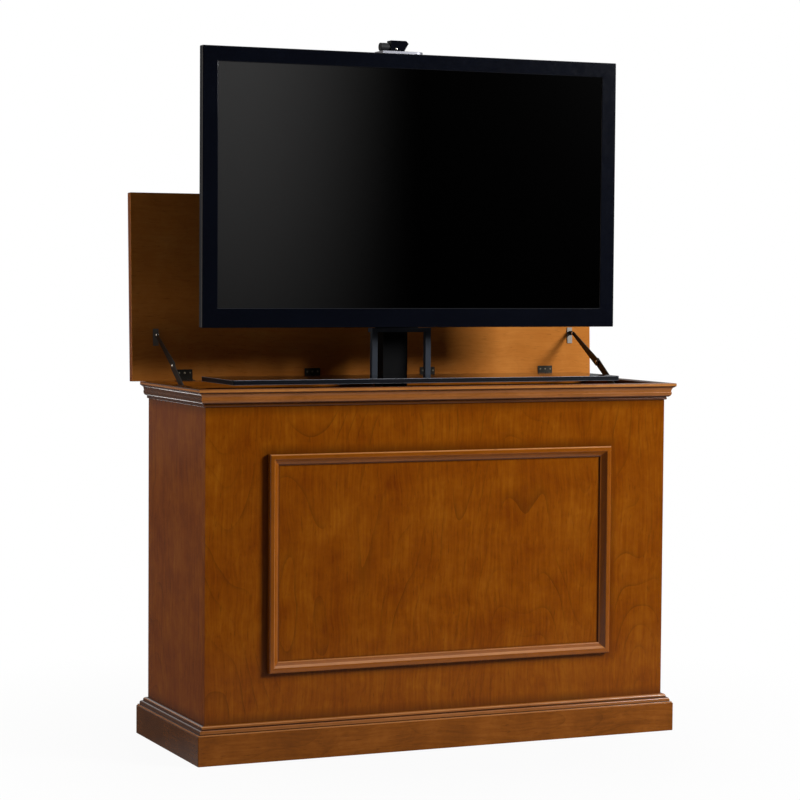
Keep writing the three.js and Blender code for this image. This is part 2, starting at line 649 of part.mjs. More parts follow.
// Lid pusher: plate with one round end, housing with the axle, and roller.
function addPusher() {
  const halfDepth = PUSHER_DEPTH / 2;
  const roundX = PUSHER_PLATE_LEFT + PUSHER_PLATE_LENGTH - halfDepth;
  const plateShape = new THREE.Shape();
  plateShape.moveTo(PUSHER_PLATE_LEFT, halfDepth);
  plateShape.lineTo(PUSHER_PLATE_LEFT, -halfDepth);
  plateShape.absarc(roundX, 0, halfDepth, -Math.PI / 2, Math.PI / 2);
  const plate = new THREE.ExtrudeGeometry(plateShape, {
    depth: PUSHER_PLATE, bevelEnabled: false, curveSegments: ROUND / 2,
  });
  plate.translate(0, mastY, flangeTop);
  add('pusher_plate', plate, ALUMINIUM);

  const blockRight = PUSHER_BLOCK_LEFT + PUSHER_BLOCK_WIDTH;
  const blockShape = new THREE.Shape();
  blockShape.moveTo(PUSHER_BLOCK_LEFT, 0);
  blockShape.lineTo(blockRight - PUSHER_TAPER, 0);
  blockShape.lineTo(blockRight, PUSHER_BLOCK_HEIGHT - PUSHER_CHAMFER);
  blockShape.lineTo(blockRight - PUSHER_CHAMFER, PUSHER_BLOCK_HEIGHT);
  blockShape.lineTo(PUSHER_BLOCK_LEFT, PUSHER_BLOCK_HEIGHT);
  const block = new THREE.ExtrudeGeometry(blockShape, { depth: PUSHER_BLOCK_DEPTH, bevelEnabled: false });
  block.rotateX(Math.PI / 2);
  block.translate(0, mastY + PUSHER_BLOCK_DEPTH / 2, pusherPlateTop);
  const rollerRight = PUSHER_BLOCK_LEFT - ROLLER_GAP;
  const rollerLeft = rollerRight - ROLLER_LENGTH;
  const rollerZ = pusherPlateTop + ROLLER_RADIUS + ROLLER_GAP;
  const axleX = [rollerLeft, PUSHER_BLOCK_LEFT + ROLLER_AXLE_RADIUS];
  const axle = barAlongX(ROLLER_AXLE_RADIUS, axleX, mastY, rollerZ, SMALL_ROUND);
  add('pusher_housing', join(block, axle), GLOSS_BLACK);
  const boreX = [rollerLeft - OVERRUN, rollerRight + OVERRUN];
  const boreRadius = ROLLER_AXLE_RADIUS + ROLLER_AXLE_CLEARANCE;
  add('pusher_roller', cut(
    barAlongX(ROLLER_RADIUS, [rollerLeft, rollerRight], mastY, rollerZ, ROUND),
    barAlongX(boreRadius, boreX, mastY, rollerZ, SMALL_ROUND),
  ), GREY_RUBBER);
}

addPanels();
addMouldings();
addFrameMoulding();
addLid();
addStay('left', -1);
addStay('right', 1);
addLift();
addMotor();
addControlBox();
addMount();
addTelevision();
addShelf();
addPusher();

export default cabinet;
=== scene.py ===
# %% [markdown]
# # A television lift cabinet
# A stained veneer cabinet with its lid open and its television raised.
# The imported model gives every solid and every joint. This lesson dresses that
# frame: each piece keeps its place and size, and gets rounded edges, fixings
# and a finish that is worked out from the real one.

import json
import math

import bmesh
import bpy
from mathutils import Matrix, Vector

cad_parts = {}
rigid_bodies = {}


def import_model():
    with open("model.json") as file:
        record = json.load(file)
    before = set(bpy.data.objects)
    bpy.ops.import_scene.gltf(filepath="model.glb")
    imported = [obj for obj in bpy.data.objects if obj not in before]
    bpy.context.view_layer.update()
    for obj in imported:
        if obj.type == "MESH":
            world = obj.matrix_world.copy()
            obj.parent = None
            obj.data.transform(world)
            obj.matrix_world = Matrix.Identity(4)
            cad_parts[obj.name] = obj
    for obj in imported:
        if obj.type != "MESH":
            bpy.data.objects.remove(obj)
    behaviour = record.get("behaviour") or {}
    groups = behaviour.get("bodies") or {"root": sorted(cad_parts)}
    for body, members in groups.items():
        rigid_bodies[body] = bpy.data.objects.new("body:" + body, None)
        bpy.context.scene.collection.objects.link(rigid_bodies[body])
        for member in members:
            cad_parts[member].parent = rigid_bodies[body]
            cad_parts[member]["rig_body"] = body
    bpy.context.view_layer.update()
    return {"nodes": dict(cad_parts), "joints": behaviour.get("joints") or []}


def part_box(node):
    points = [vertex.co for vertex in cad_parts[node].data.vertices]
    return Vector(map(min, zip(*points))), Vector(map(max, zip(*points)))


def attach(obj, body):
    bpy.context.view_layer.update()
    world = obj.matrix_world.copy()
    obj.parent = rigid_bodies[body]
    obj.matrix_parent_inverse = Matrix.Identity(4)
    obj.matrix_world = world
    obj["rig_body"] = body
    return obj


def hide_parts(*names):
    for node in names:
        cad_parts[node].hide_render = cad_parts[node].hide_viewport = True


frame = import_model()
nodes = frame["nodes"]

# %% [markdown]
# ## The camera
# The cabinet was photographed from its left, at about the height of the screen's
# lower half. Place, turn and focal length were solved from the cabinet's corners
# and the screen's, so the picture lines up with the photograph. The frame is
# 800 pixels wide on a sensor of 36 mm.

# %% The camera
CAMERA_PLACE = Vector((-2.6321, -5.8711, 1.2079))
CAMERA_YAW = 0.4179
CAMERA_DOWN = 0.0530
CAMERA_ROLL = 0.0073
FOCAL_PIXELS = 2485.2
FRAME_PIXELS = 800
SENSOR_MM = 36.0

forward = Vector((
    math.sin(CAMERA_YAW) * math.cos(CAMERA_DOWN),
    math.cos(CAMERA_YAW) * math.cos(CAMERA_DOWN),
    -math.sin(CAMERA_DOWN),
))
level = Vector((math.cos(CAMERA_YAW), -math.sin(CAMERA_YAW), 0))
upright = level.cross(forward)
camera_x = math.cos(CAMERA_ROLL) * level + math.sin(CAMERA_ROLL) * upright
camera_y = math.cos(CAMERA_ROLL) * upright - math.sin(CAMERA_ROLL) * level
camera_data = bpy.data.cameras.new("studio_camera")
camera_data.sensor_width = SENSOR_MM
camera_data.lens = FOCAL_PIXELS * SENSOR_MM / FRAME_PIXELS
camera = bpy.data.objects.new("studio_camera", camera_data)
turn = Matrix((camera_x, camera_y, -forward)).transposed()
camera.matrix_world = Matrix.Translation(CAMERA_PLACE) @ turn.to_4x4()
bpy.context.scene.collection.objects.link(camera)
bpy.context.scene.camera = camera
print("camera lens:", round(camera_data.lens, 2), "mm")

# %% [markdown]
# ## Colours and nodes
# Colours are written as sRGB hex values, as a painter would note them, and the
# shader works in linear light, so one function turns them over. A second one adds
# a node, sets its properties and joins or fills its sockets. A shader node goes by
# its short name, and a node given for a socket stands for its own first output.


# %% Colours and nodes
def linear(hex_colour):
    """The colour in linear light, with an alpha of 1."""
    channels = [int(hex_colour[i:i + 2], 16) / 255 for i in (1, 3, 5)]
    return [c / 12.92 if c <= 0.04045 else ((c + 0.055) / 1.055) ** 2.4 for c in channels] + [1.0]


def node(tree, kind, sockets=None, **settings):
    made = tree.nodes.new(kind if "Node" in kind else "ShaderNode" + kind)
    for name, value in settings.items():
        setattr(made, name, value)
    for name, value in (sockets or {}).items():
        if isinstance(value, bpy.types.Node):
            value = value.outputs[0]
        if isinstance(value, bpy.types.NodeSocket):
            tree.links.new(value, made.inputs[name])
        else:
            made.inputs[name].default_value = value
    return made


def new_material(name):
    material = bpy.data.materials.new(name)
    material.use_nodes = True
    material.node_tree.nodes.clear()
    return material, material.node_tree


def finish_material(tree, sockets):
    shader = node(tree, "BsdfPrincipled", sockets)
    node(tree, "OutputMaterial", {"Surface": shader})


print("mid grey in linear light:", round(linear("#808080")[0], 3))

# %% [markdown]
# ## Painted shade in the corners
# The panels darken in a soft edge beside the mouldings, a finger's width
# wide: painted shade where shade falls in the corners. Inside the picture
# frame the edge starts fainter and is a fifth as wide. The distance from the
# nearest moulding gives it: to the picture frame on the front, and to the
# crown and the base moulding everywhere.

# %% Painted shade in the corners
# The dark of the rings and pores, and the colour of the painted corner shade.
DARK_GRAIN_AND_SHADE_COLOUR = "#1c0a02"
CORNER_SHADE_WIDTH = 0.026
CORNER_SHADE_SHARE = 0.9
INNER_START = 0.01
INNER_FALL = 3.0
crown_low, crown_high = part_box("crown_front")
cap_low, cap_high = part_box("base_cap_front")
frame_box = (
    Vector((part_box("frame_moulding_left")[0].x, 0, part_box("frame_moulding_bottom")[0].z)),
    Vector((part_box("frame_moulding_right")[1].x, 0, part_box("frame_moulding_top")[1].z)),
)
frame_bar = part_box("frame_moulding_left")[1].x - frame_box[0].x


def painted_corner_shade(tree, place, framed):
    """The share of painted shade beside a moulding, which falls to 0 at its full width."""
    axes = node(tree, "SeparateXYZ", {"Vector": place}).outputs
    above_cap = node(tree, "Math", {0: axes["Z"], 1: cap_high.z}, operation="SUBTRACT")
    under_crown = node(tree, "Math", {0: crown_low.z, 1: axes["Z"]}, operation="SUBTRACT")
    nearest = node(tree, "Math", {0: above_cap, 1: under_crown}, operation="MINIMUM")
    if framed:
        middle = (frame_box[0] + frame_box[1]) / 2
        half = (frame_box[1] - frame_box[0]) / 2
        past = []
        for axis, centre, reach in (("X", middle.x, half.x), ("Z", middle.z, half.z)):
            off = node(tree, "Math", {0: axes[axis], 1: centre}, operation="SUBTRACT")
            off = node(tree, "Math", {0: off}, operation="ABSOLUTE")
            past.append(node(tree, "Math", {0: off, 1: reach}, operation="SUBTRACT"))
        outside = node(tree, "Math", {0: past[0], 1: past[1]}, operation="MAXIMUM")
        # From the frame's inner edge on, it starts at INNER_START and grows faster.
        inside = node(tree, "Math", {
            0: outside, 1: -INNER_FALL, 2: INNER_START - INNER_FALL * frame_bar,
        }, operation="MULTIPLY_ADD")
        beside = node(tree, "Math", {0: outside, 1: inside}, operation="MAXIMUM")
        nearest = node(tree, "Math", {0: nearest, 1: beside}, operation="MINIMUM")
    return node(tree, "MapRange", {
        "Value": nearest, "From Min": 0.0, "From Max": CORNER_SHADE_WIDTH,
        "To Min": CORNER_SHADE_SHARE, "To Max": 0.0,
    })


print("glaze from", round(cap_high.z, 4), "to", round(crown_low.z, 4), "m up")

# %% [markdown]
# ## Stained birch veneer
# The cabinet is faced with rotary-cut birch, stained a warm honey brown and
# sealed with a satin lacquer. A rotary knife peels the log nearly along its
# growth rings, so the rings show as wandering contour lines, loops and pointed
# arches, 10 to 30 mm apart, with fine streaks and short dark pores along the
# grain. Contour lines of a smooth noise that is stretched along the grain give
# just that. Everything reads Object coordinates, so the figure is fixed to each
# board and has its real size.

# %% Stained birch veneer
GRAIN_TURN = {"x": (0, math.pi / 2, 0), "y": (math.pi / 2, 0, 0), "z": (0, 0, 0)}
WANDER_PER_METRE = 4.2
WANDER_REACH = (0.045, 0.045, 0.05)
FIGURE_PER_METRE = (3.6, 3.6, 0.95)
RING_COUNT = 22.0
RING_SHARPNESS = 11.0
FAINTEST_RING = 0.05
STREAKS_PER_METRE = (150, 150, 5.5)
STREAK_WEIGHT = 0.6
CLOUDS_PER_METRE = 8.0
TONE_MIDDLE, TONE_REACH = 0.8, 0.22
PORES_PER_METRE = (420, 420, 34)
PORE_DEPTH = 0.26
SATIN_ROUGHNESS = (0.13, 0.18)


def birch_veneer(
    name, along, shift, dark, middle, light,
    ring_depth=0.34, contrast=0.8, gloss_level=0.14, corner_shade_on="",
):
    """along is the grain's axis, and contrast the strength of streaks and clouds."""
    material, tree = new_material(name)
    place = node(tree, "TexCoord").outputs["Object"]
    turned = node(tree, "Mapping", {
        "Vector": place, "Rotation": GRAIN_TURN[along], "Location": shift,
    })

    # Slow wandering of the grain, so that no line runs quite straight.
    wander = node(tree, "TexNoise", {"Vector": turned, "Scale": WANDER_PER_METRE, "Detail": 2.0})
    bent = node(tree, "VectorMath", {
        0: wander.outputs["Color"], 1: WANDER_REACH, 2: turned,
    }, operation="MULTIPLY_ADD")

    # Noises that are stretched along the grain.
    figure, streaks, pores = [
        node(tree, "TexNoise", {
            "Vector": node(tree, "VectorMath", {0: bent, 1: per_metre}, operation="MULTIPLY"),
            "Scale": 1.0, "Detail": detail, "Roughness": roughness,
        })
        for per_metre, detail, roughness in (
            (FIGURE_PER_METRE, 1.0, 0.35), (STREAKS_PER_METRE, 3.0, 0.6),
            (PORES_PER_METRE, 1.0, 0.5),
        )
    ]

    # The rings are contour lines of the figure, sharp on one side, in patches.
    counted = node(tree, "Math", {0: figure, 1: RING_COUNT}, operation="MULTIPLY")
    saw = node(tree, "Math", {0: counted}, operation="FRACT")
    ring = node(tree, "Math", {0: saw, 1: RING_SHARPNESS}, operation="POWER")
    patches = node(tree, "TexNoise", {"Vector": bent, "Scale": 6.5, "Detail": 2.0})
    fade = node(tree, "MapRange", {
        "Value": patches, "From Min": 0.4, "From Max": 0.66,
        "To Min": FAINTEST_RING, "To Max": ring_depth,
    })
    ring_shade = node(tree, "Math", {0: ring, 1: fade}, operation="MULTIPLY")

    # Clouds of stain and fine streaks give the tone.
    clouds = node(tree, "TexNoise", {
        "Vector": bent, "Scale": CLOUDS_PER_METRE, "Detail": 5.0, "Roughness": 0.66,
    })
    blended = node(tree, "Math", {
        0: streaks, 1: STREAK_WEIGHT, 2: clouds,
    }, operation="MULTIPLY_ADD")
    tone = node(tree, "MapRange", {
        "Value": blended, "From Min": TONE_MIDDLE - TONE_REACH / contrast,
        "From Max": TONE_MIDDLE + TONE_REACH / contrast,
    })
    ramp = node(tree, "ValToRGB", {"Fac": tone})
    ramp.color_ramp.elements[0].color = linear(dark)
    ramp.color_ramp.elements[1].color = linear(light)
    ramp.color_ramp.elements.new(0.5).color = linear(middle)

    # Pores, rings and the painted corner shade darken it.
    pore_shade = node(tree, "MapRange", {
        "Value": pores, "From Min": 0.63, "From Max": 0.74, "To Min": 0.0, "To Max": PORE_DEPTH,
    })
    shade = node(tree, "Math", {0: ring_shade, 1: pore_shade}, operation="MAXIMUM")
    if corner_shade_on:
        # Painted corner shade, made uneven by the clouds.
        corner_shade_mask = node(tree, "Math", {
            0: painted_corner_shade(tree, place, corner_shade_on == "front"), 1: clouds,
        }, operation="MULTIPLY")
        shade = node(tree, "Math", {0: shade, 1: corner_shade_mask}, operation="MAXIMUM")
    colour = node(tree, "Mix", {
        0: shade, 6: ramp.outputs["Color"], 7: linear(DARK_GRAIN_AND_SHADE_COLOUR),
    }, data_type="RGBA")

    gloss = node(tree, "MapRange", {
        "Value": clouds, "From Min": 0.3, "From Max": 0.7,
        "To Min": SATIN_ROUGHNESS[0], "To Max": SATIN_ROUGHNESS[1],
    })
    relief = node(tree, "Bump", {"Height": streaks, "Strength": 0.05, "Distance": 0.0004})
    finish_material(tree, {
        "Base Color": colour.outputs[2], "Roughness": gloss, "Normal": relief,
        "IOR": 1.5, "Specular IOR Level": gloss_level,
    })
    return material


print("veneer: rings of", RING_COUNT, "contours, streaks", STREAKS_PER_METRE, "a metre")

# %% [markdown]
# ## The stains
# Every board is stained alike. The rails and mouldings are solid wood, which
# takes the stain a little differently from the veneer, and has a calmer figure
# and more lacquer. Their lengths at the left and right end get darker and duller
# copies of the front stains, which are painted shade, matched to the left end in
# shade. The mouldings' grooves and crests get dark and pale bands, which are
# painted shade and painted highlights. The lid's inner face is only lightly stained.
# Each stain is three colours, from the darkest to the lightest of the grain.

# %% The stains
STAIN = ("#652c02", "#773c03", "#884c08")
STAIN_RAIL = ("#5c300b", "#77410f", "#8f531b")
STAIN_FRAME = ("#6c3803", "#7e4204", "#904d0a")
STAIN_CROWN = ("#74420f", "#88501e", "#9a602c")
# Painted shade for the mouldings' grooves, and painted highlights for their crests.
GROOVE_SHADE_COLOURS = ("#3a1b05", "#4a2506", "#582c08")
CREST_HIGHLIGHT_COLOURS = ("#945a26", "#a56a33", "#b57a40")
# Painted shade: darker copies of the stains for the end lengths, matched to the left end in shade.
PLINTH_END_SHADE_COLOURS = ("#42220a", "#56300d", "#6a3f16")
CROWN_END_SHADE_COLOURS = ("#44260c", "#543013", "#643d1e")
STAIN_PALE = ("#9b5a1f", "#ad6b2c", "#bd7d3a")
FRONT = {"ring_depth": 0.42, "corner_shade_on": "front"}
RAIL = {"ring_depth": 0.25, "contrast": 0.6}
MOULDED = {"ring_depth": 0.12, "contrast": 0.5, "gloss_level": 0.5}
INNER = {"ring_depth": 0.07, "contrast": 0.45}
(
    front_veneer, side_veneer, back_veneer, rail_veneer, side_rail_veneer_shaded,
    moulding_birch, side_moulding_birch_shaded, frame_birch, stile_birch,
    groove_painted_shade, crest_painted_highlight, lid_outer_veneer, lid_inner_veneer,
) = [
    birch_veneer(name, along, shift, *stain, **settings)
    for name, along, shift, stain, settings in (
        ("stained_birch_front", "z", (0.31, 0.2, 0.47), STAIN, FRONT),
        ("stained_birch_side", "z", (4.1, 1.3, 2.6), STAIN, {"corner_shade_on": "side"}),
        ("stained_birch_back", "z", (7.2, 3.1, 5.2), STAIN, {"corner_shade_on": "back"}),
        ("stained_birch_rail", "x", (2.2, 5.7, 1.1), STAIN_RAIL, RAIL),
        # The end lengths take the painted shade copies.
        ("birch_side_rail_painted_shade", "y", (1.2, 8.4, 3.3), PLINTH_END_SHADE_COLOURS, RAIL),
        ("stained_birch_moulding", "x", (5.1, 2.3, 7.9), STAIN_CROWN, MOULDED),
        ("birch_side_moulding_painted_shade", "y", (8.3, 1.9, 4.4), CROWN_END_SHADE_COLOURS, MOULDED),
        ("stained_birch_frame_bar", "x", (3.3, 7.7, 4.1), STAIN_FRAME, MOULDED),
        ("stained_birch_stile", "z", (6.4, 2.8, 9.1), STAIN_FRAME, MOULDED),
        # Groove and crest finishes: painted shade and painted highlight.
        ("birch_groove_painted_shade", "x", (2.6, 9.3, 5.8), GROOVE_SHADE_COLOURS, MOULDED),
        ("birch_crest_painted_highlight", "x", (7.4, 6.6, 2.1), CREST_HIGHLIGHT_COLOURS, MOULDED),
        ("stained_birch_lid_outer", "x", (9.5, 4.4, 6.7), STAIN, {}),
        ("stained_birch_lid_inner", "x", (3.9, 6.1, 8.8), STAIN_PALE, INNER),
    )
]
print("birch finishes:", [m.name for m in bpy.data.materials if "birch" in m.name])

# %% [markdown]
# ## Plastics, lacquer and metals
# The other finishes are plain ones, and each has the grain that its making
# leaves: powder coat is a fine orange peel, moulded ABS has a spark-eroded
# grain, brushed aluminium has long scratches, and piano-black plastic and
# lacquer are smooth and only vary a little in gloss. A lacquered board's arris
# gets a pale grey coat, which is a painted highlight.


# %% Plastics, lacquer and metals
GLOSS_SPREAD = 0.12
TINGE_PER_METRE = 9.0


def grained(
    name, colour, other, roughness, per_metre, depth, stretch=(1, 1, 1), gloss_level=0.5, **fixed,
):
    """A finish with per_metre grains to the metre, which are depth metres high."""
    material, tree = new_material(name)
    place = node(tree, "TexCoord").outputs["Object"]
    stretched = node(tree, "Mapping", {"Vector": place, "Scale": stretch})
    grain = node(tree, "TexNoise", {"Vector": stretched, "Scale": per_metre, "Detail": 3.0})
    tinge = node(tree, "TexNoise", {"Vector": place, "Scale": TINGE_PER_METRE, "Detail": 3.0})
    mixed = node(tree, "Mix", {0: tinge, 6: linear(colour), 7: linear(other)}, data_type="RGBA")
    gloss = node(tree, "MapRange", {
        "Value": grain, "From Min": 0.3, "From Max": 0.7,
        "To Min": roughness * (1 - GLOSS_SPREAD), "To Max": roughness * (1 + GLOSS_SPREAD),
    })
    relief = node(tree, "Bump", {"Height": grain, "Strength": 0.4, "Distance": depth})
    finish_material(tree, {
        "Base Color": mixed.outputs[2], "Roughness": gloss, "Normal": relief,
        "Specular IOR Level": gloss_level, **fixed,
    })
    return material


powder_coat = grained(
    "powder_coated_steel", "#030304", "#060708", 0.5, 900, 0.0001, gloss_level=0.05,
)
bracket_coat = grained(
    "slate_powder_coated_steel", "#22272f", "#2c323c", 0.46, 900, 0.0001, gloss_level=0.15,
)
black_zinc = grained("black_zinc_steel", "#17120d", "#251d16", 0.38, 500, 0.00005, Metallic=0.75)
hinge_zinc = grained("dark_bronzed_steel", "#130f09", "#231e13", 0.42, 500, 0.00005, Metallic=0.7)
zinc_plate = grained("zinc_plated_steel", "#6a645d", "#7c756d", 0.5, 400, 0.00003, Metallic=0.4)
screw_zinc = grained("dark_screw_steel", "#5a5346", "#6a6355", 0.4, 500, 0.00003, Metallic=0.85)
nickel = grained("nickel_plated_steel", "#b9b4aa", "#cfcbc3", 0.24, 700, 0.00002, Metallic=1.0)
aluminium = grained(
    "brushed_aluminium", "#6a6b72", "#87888f", 0.5, 260, 0.00003, (0.12, 3, 3), Metallic=1.0,
)
gloss_plastic = grained("piano_black_plastic", "#04050b", "#070a13", 0.12, 60, 0.000003, IOR=1.4)
matt_plastic = grained(
    "textured_black_plastic", "#0b0c0f", "#121317", 0.55, 1100, 0.00008, gloss_level=0.35,
    IOR=1.46,
)
# Black lacquer for the shelf, and painted shadow on the bracket's top bar.
black_lacquer_and_bar_shadow = grained(
    "black_lacquer_and_bar_shadow_finish", "#050608", "#0a0b0e", 0.07, 40, 0.000004, IOR=1.5,
)
satin_edge = grained(
    "satin_lacquered_edge", "#0e1016", "#13161c", 0.35, 300, 0.00001, gloss_level=0.1,
    IOR=1.5,
)
# A painted highlight for the shelf's rounded arris.
arris_painted_highlight = grained("lacquer_arris_painted_highlight", "#8a8c94", "#989aa4", 0.3, 300, 0.00001, IOR=1.5)
roller_rubber = grained(
    "grey_rubber", "#0d0e0f", "#191a1c", 0.5, 800, 0.00015, gloss_level=0.25, IOR=1.5,
)
print("plain finishes:", len(bpy.data.materials), "materials in all")

# %% [markdown]
# ## The screen's film
# The screen is a liquid crystal panel behind an anti-glare film. The film is
# etched so finely that it only hazes what it mirrors. A dull grey veil over the
# upper left half, which fades to black at the right, is a painted reflection:
# a gradient along the panel's own width and height in its base colour.

# %% The screen's film
# A painted reflection: the grey of the veil at the film's upper left.
REFLECTION_GREY = "#343434"
REFLECTION_END_X = 0.02
REFLECTION_BELOW_SCREEN = 0.42
ETCH_PER_METRE = 1500.0
screen_low, screen_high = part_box("tv_screen")
screen_film, film_tree = new_material("anti_glare_film")
film_place = node(film_tree, "TexCoord").outputs["Object"]
film_axes = node(film_tree, "SeparateXYZ", {"Vector": film_place}).outputs
across = node(film_tree, "MapRange", {
    "Value": film_axes["X"], "From Min": screen_low.x, "From Max": REFLECTION_END_X,
    "To Min": 1.0, "To Max": 0.0,
}, interpolation_type="SMOOTHSTEP")
upwards = node(film_tree, "MapRange", {
    "Value": film_axes["Z"], "From Min": screen_low.z - REFLECTION_BELOW_SCREEN,
    "From Max": screen_high.z,
})
# The painted reflection: grey at the upper left, black at the right.
painted_reflection = node(film_tree, "Math", {0: across, 1: upwards}, operation="MULTIPLY")
etch = node(film_tree, "TexNoise", {"Vector": film_place, "Scale": ETCH_PER_METRE})
film_colour_with_reflection = node(film_tree, "Mix", {
    0: painted_reflection, 6: linear("#000000"), 7: linear(REFLECTION_GREY),
}, data_type="RGBA")
film_gloss = node(film_tree, "MapRange", {"Value": etch, "To Min": 0.16, "To Max": 0.2})
finish_material(film_tree, {
    "Base Color": film_colour_with_reflection.outputs[2], "Roughness": film_gloss,
    "IOR": 1.4, "Specular IOR Level": 0.04,
})
print("screen:", [round(v, 4) for v in screen_high - screen_low])

# %% [markdown]
# ## Rounded edges
# No edge on the real cabinet is knife sharp: boards are eased with sandpaper,
# sheet metal is tumbled and plastic leaves its mould with a radius. That edge is
# what catches the light. So a solid is copied from the frame, its loose
# triangles are merged, flat faces are joined again, and a Bevel modifier eases
# the edges. The copy stands for the node.


# %% Rounded edges
SHARP_DEGREES = 32
BALL_SHARP_DEGREES = 40
RING_SHARP_DEGREES = 50
FLAT_DEGREES = 0.5
WELD_DISTANCE = 1e-5
FACING = 0.9


def add_piece(name, mesh, body, materials, *stands_for):
    piece = bpy.data.objects.new(name, mesh)
    bpy.context.scene.collection.objects.link(piece)
    mesh.materials.clear()
    for material in materials:
        mesh.materials.append(material)
    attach(piece, body)
    if stands_for:
        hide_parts(*stands_for)
    return piece


def smooth(mesh, degrees):
    for polygon in mesh.polygons:
        polygon.use_smooth = True
    mesh.set_sharp_from_angle(angle=math.radians(degrees))


def eased(node_name, width, material, segments=3):
    """The node's own shape with its edges rounded to width, in metres."""
    source = nodes[node_name]
    merged = bmesh.new()
    merged.from_mesh(source.data)
    bmesh.ops.remove_doubles(merged, verts=merged.verts, dist=WELD_DISTANCE)
    bmesh.ops.dissolve_limit(
        merged, angle_limit=math.radians(FLAT_DEGREES), verts=merged.verts, edges=merged.edges,
    )
    mesh = bpy.data.meshes.new(node_name + "_eased")
    merged.to_mesh(mesh)
    merged.free()
    smooth(mesh, SHARP_DEGREES)
    piece = add_piece(mesh.name, mesh, source["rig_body"], [material], node_name)
    if width:
        bevel = piece.modifiers.new("eased_edges", "BEVEL")
        bevel.width = width
        bevel.segments = segments
        bevel.limit_method = "ANGLE"
        bevel.angle_limit = math.radians(SHARP_DEGREES)
        bevel.harden_normals = True
    return piece


def refinish(piece, material, chosen):
    """Gives the faces for which chosen is true another material."""
    piece.data.materials.append(material)
    for polygon in piece.data.polygons:
        if chosen(polygon):
            polygon.material_index = len(piece.data.materials) - 1


def looks_forward(polygon):
    return polygon.normal.y < -FACING


BOARD_EASE, BACK_EASE = 0.0012, 0.0006
for name, veneer in (
    ("front_panel", front_veneer), ("left_side_panel", side_veneer),
    ("right_side_panel", side_veneer), ("floor_panel", back_veneer),
    ("back_panel", back_veneer), ("hinge_rail", rail_veneer), ("plinth_front", rail_veneer),
    ("plinth_back", rail_veneer), ("plinth_left", side_rail_veneer_shaded),
    ("plinth_right", side_rail_veneer_shaded),
):
    eased(name, BACK_EASE if name == "back_panel" else BOARD_EASE, veneer)
print("boards eased by", BOARD_EASE * 1000, "mm")

# %% [markdown]
# ## The lid
# The lid is a veneered board. Its inner face was only lightly stained, so it is
# paler than the outside. The faces that look forward get that paler veneer, and
# the outer face and the edges get the dark one.

# %% The lid
lid = eased("lid_panel", 0.0018, lid_outer_veneer)
refinish(lid, lid_inner_veneer, looks_forward)
print("lid's inner faces:", sum(p.material_index for p in lid.data.polygons))

# %% [markdown]
# ## Mouldings
# The crown, the moulding on the plinth and the picture frame on the front are
# planed lengths with mitred ends. A cutter shapes ovolos and coves as true
# arcs, so each outline is written as quarter ellipses and straight steps, in
# shares of its own depth and height, and is pushed along its board. The mitres
# come from moving each point along the length as far as it stands out.
#
# Some bands of each outline get a dark groove finish, which is painted shade,
# and others a pale crest finish, which is a painted highlight. A band gives the
# axis of the outline, 0 or 1, the shares where it starts and ends, and its
# finish. The light falls differently on each of the four frame bars, so their bands differ.


# %% Outlines
def arc(centre, reach, start, end, steps=9):
    """Points of an elliptical arc, with its angles in degrees."""
    points = []
    for i in range(steps + 1):
        angle = math.radians(start + (end - start) * i / steps)
        across, up = reach[0] * math.cos(angle), reach[1] * math.sin(angle)
        points.append((centre[0] + across, centre[1] + up))
    return points


CROWN_OUTLINE = [
    (0, 0), (0.1, 0), *arc((0.13, 0.07), (0.07, 0.07), -90, 60, 7), (0.16, 0.17), (0.25, 0.17),
    *arc((0.25, 0.42), (0.36, 0.25), -84, 0, 10), *arc((0.57, 0.42), (0.04, 0.05), 0, 90, 4),
    *arc((0.94, 0.5), (0.38, 0.27), 180, 98, 12), (0.9, 0.8),
    *arc((0.95, 0.85), (0.05, 0.05), -90, 0, 4),
    *arc((0.93, 0.95), (0.07, 0.05), 0, 90, 5), (0, 1),
]
CROWN_BANDS = [(1, 0.0, 0.26, "groove"), (1, 0.755, 0.825, "groove"), (1, 0.86, 0.94, "crest")]
BASE_CAP_OUTLINE = [
    (0, 0), (1, 0), *arc((0.95, 0.07), (0.05, 0.09), 0, 90, 5), (0.775, 0.135),
    (0.8, 0.19), *arc((0.57, 0.34), (0.23, 0.25), 0, 90, 9), (0.445, 0.57),
    (0.47, 0.62), *arc((0.13, 0.7), (0.34, 0.3), 0, 90, 9), (0, 1),
]
BASE_CAP_BANDS = [
    (1, 0.128, 0.2, "groove"), (1, 0.56, 0.66, "groove"),
    (1, 0.0, 0.127, "crest"), (1, 0.86, 0.93, "crest"),
]
FRAME_OUTLINE = [
    (0, 0), *arc((0.12, 0.8), (0.12, 0.2), 180, 90, 7), *arc((0.4, 0.93), (0.06, 0.07), 90, 20, 4),
    (0.55, 0.76), (0.65, 0.59), (0.75, 0.43), (0.84, 0.3), (0.88, 0.25),
    *arc((0.94, 0.16), (0.06, 0.09), 120, 0, 6), (1, 0),
]
FRAME_BANDS = {
    "top": [(0, 0.004, 0.14, "crest"), (0, 0.88, 1.0, "groove")],
    "bottom": [(0, 0.87, 0.97, "crest"), (0, 0.5, 0.66, "crest")],
    "left": [(0, 0.42, 0.5, "crest"), (0, 0.96, 1.0, "groove")],
    "right": [(0, 0.96, 1.0, "groove")],
}
FINISHES = ["stain", "groove", "crest"]
MOULDING_SHARP_DEGREES = 28


# %% A length of moulding
def outward_mesh(name, vertices, faces, degrees):
    """A closed mesh with its faces turned outwards, smooth below the angle."""
    mesh = bpy.data.meshes.new(name)
    mesh.from_pydata(vertices, [], faces)
    turned = bmesh.new()
    turned.from_mesh(mesh)
    bmesh.ops.recalc_face_normals(turned, faces=turned.faces)
    turned.to_mesh(mesh)
    turned.free()
    smooth(mesh, degrees)
    return mesh


